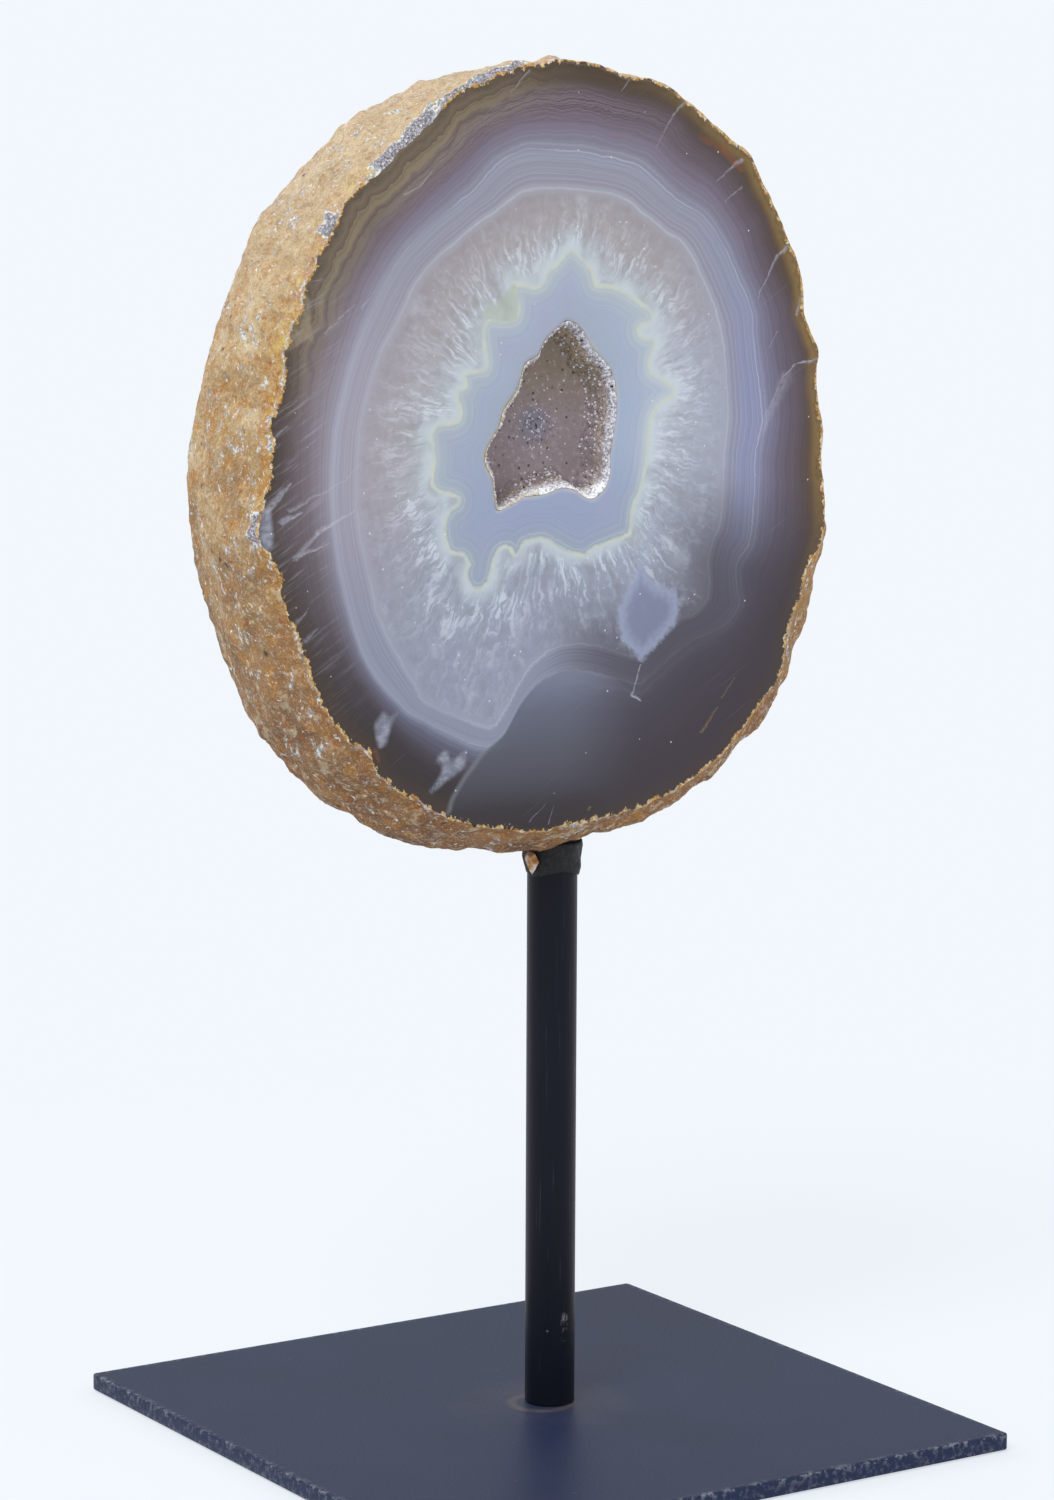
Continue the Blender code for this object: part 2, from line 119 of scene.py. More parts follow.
class Sketch:
    """Builds one procedural material from short calls."""

    def __init__(self, name: str) -> None:
        """Start a material with a Principled shader.

        Args:
            name: The material's name.
        """
        self.material = bpy.data.materials.new(name)
        self.material.use_nodes = True
        self.tree = self.material.node_tree
        self.shader = self.tree.nodes["Principled BSDF"]
        self.place = self.node("ShaderNodeTexCoord").outputs["Object"]

    def node(self, kind: str, *values: Value, **settings: object) -> bpy.types.Node:
        """Add a node, set its properties and feed its inputs in order.

        Args:
            kind: The node's type.
            *values: What goes into its inputs.
            **settings: Its properties.

        Returns:
            The new node.
        """
        made = self.tree.nodes.new(kind)
        for key, value in settings.items():
            setattr(made, key, value)
        for socket, value in zip(made.inputs, values):
            self.feed(socket, value)
        return made

    def fill(self, node: bpy.types.Node, **values: Value) -> bpy.types.Node:
        """Feed a node's inputs by name, with underscores for spaces, and return it.

        Args:
            node: The node.
            **values: What goes into the named inputs.

        Returns:
            The same node.
        """
        for key, value in values.items():
            self.feed(node.inputs[key.replace("_", " ")], value)
        return node

    def in_mm(self, depth_share: float = 1.0) -> Socket:
        """Return the place in millimetres, with its Y scaled by a share."""
        return self.stretch(self.place, (1000.0, 1000.0 * depth_share, 1000.0))

    def feed(self, socket: Socket, value: Value) -> None:
        """Link a socket to another, or set its own value or colour.

        Args:
            socket: The input to feed.
            value: A socket, a number, a vector or a colour.
        """
        if isinstance(value, bpy.types.NodeSocket):
            self.tree.links.new(value, socket)
        else:
            socket.default_value = linear(value) if isinstance(value, (Hue, str)) else value

    def math(self, operation: str, *values: Value) -> Socket:
        """Add a Math node and return its output."""
        return self.node("ShaderNodeMath", *values, operation=operation).outputs[0]

    def times(self, first: Value, *rest: Value) -> Socket:
        """Multiply values, one after another.

        Args:
            first: The first value.
            *rest: The others.

        Returns:
            Their product.
        """
        for value in rest:
            first = self.math("MULTIPLY", first, value)
        return first

    def plus(self, value: Value, factor: Value, other: Value) -> Socket:
        """Multiply a value by a factor and add another value."""
        return self.math("MULTIPLY_ADD", value, factor, other)

    def minus(self, value: Value, other: Value) -> Socket:
        """Take another value away from a value."""
        return self.math("SUBTRACT", value, other)

    def vector(self, operation: str, *values: Value) -> bpy.types.Node:
        """Add a Vector Math node and return it.

        Args:
            operation: What the node does.
            *values: Its vectors, or a vector and a factor for SCALE.

        Returns:
            The new node.
        """
        made = self.node("ShaderNodeVectorMath", operation=operation)
        slots = list(made.inputs)
        if operation == "SCALE":
            slots = [made.inputs[0], made.inputs["Scale"]]
        for socket, value in zip(slots, values):
            self.feed(socket, value)
        return made

    def stretch(self, source: Socket, scale: Sequence[float]) -> Socket:
        """Scale a vector by separate factors along X, Y and Z."""
        return self.vector("MULTIPLY", source, tuple(scale)).outputs[0]

    def turn(self, source: Socket, degrees: float) -> Socket:
        """Turn a vector about the Y axis."""
        made = self.node("ShaderNodeVectorRotate", rotation_type="Y_AXIS")
        return self.fill(made, Vector=source, Angle=math.radians(degrees)).outputs[0]

    def noise(self, source: Socket, scale: float, detail: float = 3.0,
              roughness: float = 0.5) -> Socket:
        """Add a noise texture and return its value."""
        made = self.fill(self.node("ShaderNodeTexNoise"), Vector=source, Scale=scale)
        return self.fill(made, Detail=detail, Roughness=roughness).outputs[0]

    def shake(self, source: Socket, scale: float, reach: Sequence[float],
              detail: float = 2.0) -> Socket:
        """Return a noisy offset, up to half the reach either way along each axis.

        Args:
            source: Where to read the noise.
            scale: Lumps in a millimetre.
            reach: The full reach along X, Y and Z.
            detail: How many finer layers the noise has.

        Returns:
            The offset.
        """
        made = self.node("ShaderNodeTexNoise")
        self.fill(made, Vector=source, Scale=scale, Detail=detail)
        parts = self.node("ShaderNodeSeparateColor", made.outputs["Color"])
        joined = self.node("ShaderNodeCombineXYZ", *parts.outputs)
        offset = self.vector("SUBTRACT", joined.outputs[0], (0.5, 0.5, 0.5)).outputs[0]
        return self.stretch(offset, reach)

    def cells(self, source: Socket, scale: float, feature: str = "F1") -> bpy.types.Node:
        """Add a Voronoi texture and return it."""
        made = self.node("ShaderNodeTexVoronoi", feature=feature)
        return self.fill(made, Vector=source, Scale=scale)

    def pick(self, cells: bpy.types.Node) -> Socket:
        """Return one random value for each cell of a Voronoi texture."""
        return self.node("ShaderNodeSeparateColor", cells.outputs["Color"]).outputs[0]

    def ease(self, value: Value, low: float, high: float,
             start: float = 0.0, end: float = 1.0) -> Socket:
        """Map a value smoothly from the range low to high onto start to end.

        Args:
            value: The value to map.
            low: Where the map starts.
            high: Where it ends.
            start: The result at low.
            end: The result at high.

        Returns:
            The mapped value.
        """
        made = self.node("ShaderNodeMapRange", value, low, high, start, end,
                         interpolation_type="SMOOTHSTEP", clamp=False)
        return made.outputs[0]

    def drop(self, value: Value, low: float, high: float) -> Socket:
        """Map a value smoothly from 1 at low to 0 at high."""
        return self.ease(value, low, high, 1.0, 0.0)

    def ease_linear(self, value: Value, low: float, high: float) -> Socket:
        """Map a value from the range low to high onto 0 to 1."""
        return self.node("ShaderNodeMapRange", value, low, high, clamp=False).outputs[0]

    def split(self, value: Socket) -> Tuple[Socket, ...]:
        """Return the three parts of a vector."""
        return tuple(self.node("ShaderNodeSeparateXYZ", value).outputs)

    def line_noise(self, value: Socket, scale: float, detail: float) -> Socket:
        """Add noise that varies with one value only."""
        made = self.node("ShaderNodeTexNoise", noise_dimensions="1D")
        return self.fill(made, W=value, Scale=scale, Detail=detail).outputs[0]

    def mix(self, factor: Value, first: Value, second: Value, mode: str = "MIX") -> Socket:
        """Mix two colours and return the result.

        Args:
            factor: The share of the second colour.
            first: The first colour.
            second: The second colour.
            mode: How the two are blended.

        Returns:
            The mixed colour.
        """
        made = self.node("ShaderNodeMix", data_type="RGBA", blend_type=mode)
        made.clamp_factor = True
        self.feed(made.inputs[0], factor)
        self.feed(made.inputs[6], first)
        self.feed(made.inputs[7], second)
        return made.outputs[2]

    def tint(self, colour: Value, tone: Value, value: Value, low: float, high: float,
             amount: float = 1.0) -> Socket:
        """Blend a tone into a colour as a value rises from low to high."""
        return self.mix(self.ease(value, low, high, 0.0, amount), colour, tone)

    def fade(self, colour: Value, tone: Value, value: Value, low: float, high: float,
             amount: float = 1.0) -> Socket:
        """Blend a tone into a colour, less and less as a value rises from low to high."""
        return self.mix(self.ease(value, low, high, amount, 0.0), colour, tone)

    def vary(self, colour: Socket, amount: Value, value: Value, low: float, high: float,
             dark: Triple, light: Triple) -> Socket:
        """Darken and lighten a colour as a value rises from low to high."""
        tone = self.mix(self.ease(value, low, high), (*dark, 1.0), (*light, 1.0))
        return self.mix(amount, colour, self.mix(1.0, colour, tone, "MULTIPLY"))

    def specks(self, source: Socket, scale: float, share: Pair, reach: Pair) -> Socket:
        """Return 1 at the middles of some cells, falling to 0 over the reach.

        Args:
            source: Where to read the cells.
            scale: Cells in a millimetre.
            share: The random values between which a cell starts to have a speck.
            reach: The distances between which a speck ends, in cells.

        Returns:
            The specks' strength.
        """
        cells = self.cells(source, scale)
        keep = self.ease(self.pick(cells), *share)
        return self.times(self.drop(cells.outputs["Distance"], *reach), keep)

    def ramp(self, factor: Value, stops: Sequence[Tuple[float, Tone]]) -> Socket:
        """Add a colour ramp through the given stops.

        Args:
            factor: Where to read the ramp, from 0 to 1.
            stops: Rising places with their colours.

        Returns:
            The colour.
        """
        made = self.node("ShaderNodeValToRGB", factor)
        elements = made.color_ramp.elements
        first, *between, last = [(at, linear(tone)) for at, tone in stops]
        elements[0].position, elements[0].color = first
        elements[1].position, elements[1].color = last
        for position, colour in between:
            elements.new(position).color = colour
        return made.outputs[0]

    def grey(self, colour: Socket) -> Socket:
        """Return the brightness of a colour."""
        return self.node("ShaderNodeRGBToBW", colour).outputs[0]

    def stripe(self, distance: Value, at: float, width: float) -> Socket:
        """Return 1 where a distance equals a value, falling to 0 over a width."""
        return self.drop(self.math("ABSOLUTE", self.minus(distance, at)), 0.0, width)

    def lobe(self, flow: Socket, bearing: float, width: float) -> Socket:
        """Return 1 at a bearing round the stone, falling to 0 at a width in degrees.

        Args:
            flow: The direction outwards from the hollow.
            bearing: The bearing, in degrees from +X.
            width: How far the lobe reaches either way.

        Returns:
            The lobe's strength.
        """
        aim = (math.cos(math.radians(bearing)), math.sin(math.radians(bearing)), 0.0)
        dot = self.vector("DOT_PRODUCT", flow, aim).outputs["Value"]
        return self.ease(dot, math.cos(math.radians(width)), 1.0)

    def stored(self, name: str) -> Socket:
        """Read a number stored on the mesh."""
        return self.node("ShaderNodeAttribute", attribute_name=name).outputs["Fac"]

    def stored_vector(self, name: str) -> Socket:
        """Read a vector stored on the mesh."""
        return self.node("ShaderNodeAttribute", attribute_name=name).outputs["Vector"]

    def bump(self, height: Value, distance: float, strength: float) -> Socket:
        """Add a bump node and return its normal."""
        made = self.fill(self.node("ShaderNodeBump"), Strength=strength, Distance=distance)
        return self.fill(made, Height=height).outputs[0]

    def set(self, **values: Value) -> None:
        """Set the shader's inputs, with underscores for spaces in their names."""
        self.fill(self.shader, **values)


def hermite(xs: np.ndarray, ys: np.ndarray, x: np.ndarray) -> np.ndarray:
    """Read a smooth curve through points at many places.

    Args:
        xs: Rising places of the points.
        ys: Values at those points.
        x: Places to read.

    Returns:
        The curve's values at x.
    """
    i = np.clip(np.searchsorted(xs, x, side="right") - 1, 0, len(xs) - 2)
    t = np.clip((x - xs[i]) / (xs[i + 1] - xs[i]), 0.0, 1.0)
    before = ys[np.maximum(i - 1, 0)]
    after = ys[np.minimum(i + 2, len(ys) - 1)]
    a = (ys[i + 1] - before) * 0.5
    b = (after - ys[i]) * 0.5
    return ((2 * t**3 - 3 * t**2 + 1) * ys[i] + (t**3 - 2 * t**2 + t) * a
            + (3 * t**2 - 2 * t**3) * ys[i + 1] + (t**3 - t**2) * b)


def smoothstep(x: np.ndarray, low: float, high: float) -> np.ndarray:
    """Rise smoothly from 0 at low to 1 at high."""
    t = np.clip((x - low) / (high - low), 0.0, 1.0)
    return t * t * (3 - 2 * t)


def lumps(points: np.ndarray, size: float, seed: float = 0.0) -> np.ndarray:
    """Read gradient noise, from -1 to 1, at points in millimetres.

    Args:
        points: Points, one in each row.
        size: Size of one lump.
        seed: Shift that picks another pattern.

    Returns:
        One value for each point.
    """
    scaled = points / size + seed
    return np.array([noise.noise(Vector(p)) for p in scaled.tolist()])


def upright_loop(centre: Pair, radius: np.ndarray, y: float) -> np.ndarray:
    """Place radii at even bearings round a centre, in an upright plane at one Y.

    Args:
        centre: The centre's X and Z.
        radius: The radii.
        y: The plane's Y.

    Returns:
        One point for each radius.
    """
    bearing = np.arange(len(radius)) * math.tau / len(radius)
    x = centre[0] + radius * np.cos(bearing)
    z = centre[1] + radius * np.sin(bearing)
    return np.stack((x, np.full(len(radius), y), z), axis=1)


def level_ring(centre: Vector, radius: float, height: float, sides: int) -> np.ndarray:
    """Place a circle of points round an upright axis.

    Args:
        centre: A point on the axis.
        radius: The circle's radius.
        height: The circle's height.
        sides: How many points it has.

    Returns:
        The circle's points.
    """
    bearing = np.arange(sides) * math.tau / sides
    x = centre.x + radius * np.cos(bearing)
    y = centre.y + radius * np.sin(bearing)
    return np.stack((x, y, np.full(sides, height)), axis=1)


@dataclass(frozen=True)
class Contour:
    """A closed line drawn on the stone's face, as (x, z) points in millimetres."""

    points: Tuple[Pair, ...]

    def curve(self, span_steps: int = 4) -> np.ndarray:
        """Return a smooth closed curve through the points.

        Args:
            span_steps: Points on the curve for each one of the list.

        Returns:
            The curve's points.
        """
        p = np.asarray(self.points, float)
        t = np.linspace(0, 1, span_steps, endpoint=False)[None, :, None]
        p0, p1, p2, p3 = (np.roll(p, k, axis=0)[:, None, :] for k in (1, 0, -1, -2))
        curve = 0.5 * (2 * p1 + (p2 - p0) * t + (2 * p0 - 5 * p1 + 4 * p2 - p3) * t**2
                       + (3 * p1 - p0 - 3 * p2 + p3) * t**3)
        return curve.reshape(-1, 2)

    def radii(self, centre: Pair, steps: int) -> np.ndarray:
        """Return the line's radius at even bearings round a centre.

        Args:
            centre: The centre's X and Z.
            steps: How many bearings there are.

        Returns:
            One radius for each bearing.
        """
        d = np.asarray(self.points, float) - np.asarray(centre)
        bearing = np.arctan2(d[:, 1], d[:, 0]) % math.tau
        order = np.argsort(bearing)
        bearing, radius = bearing[order], np.hypot(d[:, 0], d[:, 1])[order]
        bearing = np.concatenate(([bearing[-1] - math.tau], bearing, [bearing[0] + math.tau]))
        radius = np.concatenate(([radius[-1]], radius, [radius[0]]))
        return hermite(bearing, radius, np.arange(steps) * math.tau / steps)

    def depth_inside(self, where: np.ndarray, block: int = 3000) -> np.ndarray:
        """Return how far each point lies inside the line, negative outside.

        Args:
            where: Points to measure, as X and Z.
            block: How many points are measured at once.

        Returns:
            One depth for each point.
        """
        a = self.curve()
        b = np.roll(a, -1, axis=0)
        ab = b - a
        length2 = np.maximum((ab**2).sum(1), 1e-9)
        result = np.empty(len(where))
        for start in range(0, len(where), block):
            p = where[start:start + block]
            pa = p[:, None, :] - a[None]
            h = np.clip((pa * ab).sum(2) / length2, 0, 1)
            away = np.sqrt(((pa - h[..., None] * ab) ** 2).sum(2)).min(1)
            x, z = p[:, :1], p[:, 1:]
            spans = (a[:, 1] > z) != (b[:, 1] > z)
            rise = np.where(ab[:, 1] == 0, 1e-9, ab[:, 1])
            left = x < ab[:, 0] * (z - a[:, 1]) / rise + a[:, 0]
            inside = (spans & left).sum(1) % 2 == 1
            result[start:start + block] = np.where(inside, away, -away)
        return result


@dataclass(frozen=True)
class Streak:
    """A healed crack or a stain that shows in the face, wide at one end."""

    start: Pair
    end: Pair
    width: float = 0.45
    tip: float = 0.25
    strength: float = 0.6
    hue: Hue = Hue.VEIN
    spread: float = 1.1


# Lines of the face, from the hollow outwards
HOLLOW = Contour((
    (-5, 210.8), (-2, 209.5), (0.5, 206), (2.7, 203.9), (5, 201.5), (6, 198), (6.2, 195),
    (5.6, 190), (4.9, 186), (4.6, 181.5), (2.6, 178.7), (0, 178), (-3, 179.8), (-6, 180.2),
    (-10, 179.2), (-14, 179), (-17.5, 177.4), (-19.8, 176.8), (-20.4, 179), (-21, 182.5),
    (-22.4, 185), (-22.6, 187.2), (-21.2, 189.8), (-19.6, 192), (-18.6, 195), (-16.2, 198),
    (-15, 200.5), (-14, 203.2), (-11.2, 204.8), (-9.8, 207.3), (-7.4, 209.3),
))
SCALLOPS = Contour((
    (-4, 223.3), (-2, 221.8), (0.2, 219.8), (0.8, 218), (1.4, 216.9), (4, 216.7), (6.5, 216),
    (9, 214.7), (11.5, 213.2), (13.6, 211.8), (13.5, 210.2), (11.2, 209.6), (10.7, 208.2),
    (12, 207), (14.3, 206.6), (14, 205), (13.2, 202.8), (13.6, 200.7), (16.5, 199.2),
    (18.5, 197.8), (18.3, 196.2), (16, 195.3), (14, 193), (13.3, 190), (13, 187),
    (12.6, 184), (12, 181.5), (11.2, 178.8), (10, 176.8), (9.5, 174.3), (9.3, 172),
    (8.7, 171), (6, 170.3), (3.5, 169.6), (1, 168.9), (-0.7, 167.8), (-2.7, 168),
    (-4.5, 168.6), (-6.8, 169.8), (-9.8, 171.3), (-12.5, 171.2), (-14.4, 170.6),
    (-15.2, 168.9), (-16.2, 168.6), (-17, 170), (-19, 170.1), (-20.4, 168.6),
    (-21.2, 165.8), (-22.2, 163.6), (-24, 162.8), (-25.6, 163.8), (-26.3, 165.8),
    (-25.8, 167.6), (-27.2, 169.3), (-29.8, 170), (-30.9, 172.8), (-31, 175.2),
    (-29.8, 177.3), (-28, 178.2), (-28, 179.5), (-29.8, 180.3), (-32.2, 180.9),
    (-33.6, 182.5), (-33.3, 186), (-33.4, 189), (-33.8, 191.2), (-32.3, 192.7),
    (-30, 192.8), (-28, 193.4), (-27.6, 195.2), (-28.2, 197.2), (-28.3, 198.6),
    (-26.8, 199.2), (-26.5, 200.4), (-27, 201.6), (-24.5, 202), (-22.4, 202.2),
    (-22, 204), (-22.5, 206.5), (-22.8, 209.3), (-21.6, 211), (-18.5, 210.8),
    (-16, 211.2), (-15.3, 213), (-15.8, 215.5), (-16.8, 217.5), (-14.5, 217.2),
    (-12, 216.7), (-10, 217.6), (-9, 219.6), (-7, 221), (-5.3, 222.6),
))
QUARTZ = Contour((
    (-10, 234.7), (-5, 234.6), (0, 234.2), (4, 233.7), (8, 232.5), (11, 230.5), (14, 228.5),
    (17, 226.5), (20, 225), (22.5, 222.5), (24.5, 219), (26.5, 215.5), (28.5, 211.5),
    (29.8, 207), (30.5, 202), (31, 197), (31.2, 192), (30.8, 187), (30.5, 182), (30.3, 177),
    (29.8, 172), (28.2, 168.5), (27.3, 165), (27.5, 161), (27, 158), (24.5, 155.5),
    (21, 154.3), (18, 152.3), (15, 149.5), (12.3, 147.6), (9, 148.2), (5, 149.7), (1, 150.8),
    (-4, 151.2), (-8, 150.4), (-12, 148), (-15, 144.5), (-17, 141), (-19, 138.3),
    (-21, 137), (-24, 137.7), (-28, 139.3), (-32, 141), (-35.7, 143), (-38, 146.8),
    (-41, 151.5), (-43.5, 155.7), (-45.5, 160), (-46.7, 165), (-48, 170), (-49.2, 175),
    (-49.7, 180), (-49.5, 185), (-49.2, 190), (-48.5, 195), (-47.5, 198.5), (-46.3, 202),
    (-45.2, 205), (-43.7, 207.7), (-41.7, 210.5), (-39.7, 214), (-37.8, 217.5),
    (-35.7, 220), (-32.7, 222.7), (-29.5, 225), (-26.5, 227.2), (-23.5, 229.2),
    (-20.5, 230.7), (-17.5, 232.7), (-15, 234), (-12.5, 234.6),
))
FINE_LINES = Contour((
    (-10, 241.6), (-6, 241.2), (-2, 241.2), (1.5, 240.4), (5.5, 239.8), (9.5, 238.8),
    (12.3, 237.3), (15, 235.3), (18, 233), (21.5, 231), (24.5, 229.7), (26.5, 227.8),
    (29.2, 224.5), (31.7, 220.5), (33.2, 217.5), (35.5, 213.5), (36.6, 210), (36.8, 206),
    (37.6, 201), (38.5, 196), (39, 191), (38.2, 187), (37.4, 183.5), (37.5, 180),
    (37.2, 175), (37, 171.5), (36.3, 168), (34.3, 165.7), (33.3, 163), (33.6, 160),
    (34.3, 156.3), (31, 153), (27, 151.5), (22, 150), (17, 146.8), (13, 144), (11, 143.3),
    (8, 144.3), (4, 145.3), (0, 146.4), (-5, 146.8), (-10.5, 145), (-14.5, 141.5),
    (-17.5, 137), (-20, 134.3), (-23, 134.2), (-28, 136), (-33, 138.5), (-38, 141),
    (-40, 142.5), (-44.5, 147), (-48, 152), (-51, 160), (-53.5, 170), (-54.5, 180),
    (-54, 190), (-53.3, 194.5), (-52, 199), (-50.5, 204), (-48.5, 209), (-46, 214),
    (-43.5, 218.5), (-40.5, 222.5), (-37.5, 225.5), (-34, 228.3), (-30, 231), (-27, 233),
    (-24, 235.3), (-21, 238.3), (-18, 240.3), (-14, 241.5),
))
OUTER_ZONE = Contour((
    (-10, 252.7), (-4, 253), (2, 252.4), (6, 251.4), (10, 250.5), (15, 249.5), (20, 247),
    (22, 244.5), (25, 242.5), (30, 239.5), (33, 236), (36, 232), (39, 228), (40, 224),
    (41.5, 220.5), (43, 217.5), (45, 214), (46.5, 210), (47.5, 206), (48.5, 202), (49, 197),
    (49, 190), (48.5, 184), (48.7, 178), (49, 172), (48.3, 167), (46, 161), (43.5, 155.5),
    (41, 150), (38, 143), (34, 138), (29, 132.5), (23, 128.5), (15, 125.5), (7, 123.5),
    (0, 123), (-8, 123), (-14, 124), (-20, 125), (-27, 126.5), (-33, 129.5), (-38, 133),
    (-43, 138), (-47, 143), (-51, 149), (-54, 155), (-56.5, 162), (-58, 170), (-59, 178),
    (-59.5, 186), (-59.5, 194), (-58.5, 202), (-56, 209), (-53.5, 216), (-50, 223),
    (-46, 229), (-41, 234.5), (-36, 239.5), (-30, 244.5), (-24, 248.5), (-17, 251.5),
))
RIM = Contour((
    (-12, 257.0), (-5, 257.6), (0, 257.0), (5, 255.6), (10, 254.6), (15, 253.8), (20, 251.2),
    (25, 247.8), (30, 244.2), (35.5, 240.6), (38, 236.8), (41, 231.5), (44.6, 225.2),
    (46.6, 221.6), (48, 217.6), (48.4, 213), (50, 207.6), (52, 204.2), (51.8, 199.5),
    (52.4, 193.5), (53.4, 187), (53.3, 182), (54.2, 175), (54, 169), (52.5, 165.5),
    (50.2, 162.5), (48.5, 157), (46.2, 152.5), (45.3, 147), (43.7, 141.8), (39.5, 137),
    (34.5, 131.5), (29, 126.8), (22.5, 123.4), (15, 120.4), (7, 118.8), (0, 118),
    (-6, 117.3), (-12, 117), (-20, 118.6), (-28, 120.4), (-35, 123.8), (-42, 127.5),
    (-46, 131.5), (-47.4, 135), (-51, 136.8), (-54.5, 140), (-57, 144.5), (-59.5, 150),
    (-61.5, 155.5), (-64, 161), (-65.4, 167), (-68.3, 171.5), (-70.3, 175.5), (-69.2, 179),
    (-67.4, 184), (-66.9, 190), (-67.6, 194.5), (-65, 198), (-64.6, 203), (-63.8, 208),
    (-61, 214.5), (-60.2, 218), (-58, 222), (-55.6, 226.4), (-53, 230), (-50.6, 234),
    (-46, 237.3), (-42, 240), (-37.5, 243.9), (-32.5, 248.1), (-28.8, 251.4), (-24, 253.5),
    (-18, 255.6),
))

# Patches in the face
BLUE_PATCH = Contour((
    (7, 158), (8.5, 161), (10.5, 164), (12, 167.5), (12.8, 165), (14, 163), (17, 161.2),
    (19.8, 160), (20.6, 157), (20, 154.2), (17, 151), (14, 148.7), (12.2, 147.2),
    (10, 149), (8, 151), (7, 153), (6.6, 155.5),
))
MOUND = Contour((
    (-31.5, 118), (-30.2, 122.5), (-29.6, 124.7), (-27, 128.4), (-25, 130.5), (-23, 132.6),
    (-19, 135.3), (-17.5, 137), (-14.5, 141.5), (-10.5, 145), (-5, 146.8), (0, 146.4),
    (5, 145), (9, 142.5), (13, 138), (17, 132), (21, 126), (23, 118),
))
CREAM_CELL = Contour((
    (-22.6, 211.1), (-19, 210.7), (-15.8, 210.8), (-15.4, 213.5), (-15.6, 216.1),
    (-16.8, 217.8), (-18.8, 215.7), (-21.4, 214.1), (-23.4, 212.8),
))
GLASSY_CHIPS = (
    Contour((
        (-46.1, 139.4), (-45, 141), (-43.9, 142), (-42.6, 140.9), (-40.6, 141.7),
        (-41.9, 139.6), (-43.2, 135.8), (-45.1, 135.2), (-45.8, 137.7),
    )),
    Contour((
        (-33.2, 131.7), (-31.6, 133.8), (-29.9, 133.4), (-29.6, 132), (-27.8, 133),
        (-26.3, 133.7), (-26.2, 131.8), (-26.8, 130), (-30.2, 128.1), (-33.5, 126.1),
        (-34.8, 126.2), (-32.9, 128.3), (-31.6, 131),
    )),
    Contour((
        (-71.2, 173.8), (-70.2, 178.9), (-67.5, 179.6), (-66.6, 177), (-66.4, 173),
        (-68.3, 171.2),
    )),
)
TAN_SHARD = Contour((
    (-62.6, 217.4), (-60, 217.2), (-58.8, 215.9), (-58.6, 212.9), (-58.2, 209.5),
    (-57.7, 207.4), (-59.4, 208.4), (-60.7, 208), (-62, 207), (-64.6, 206.8),
    (-63.8, 210.5),
))

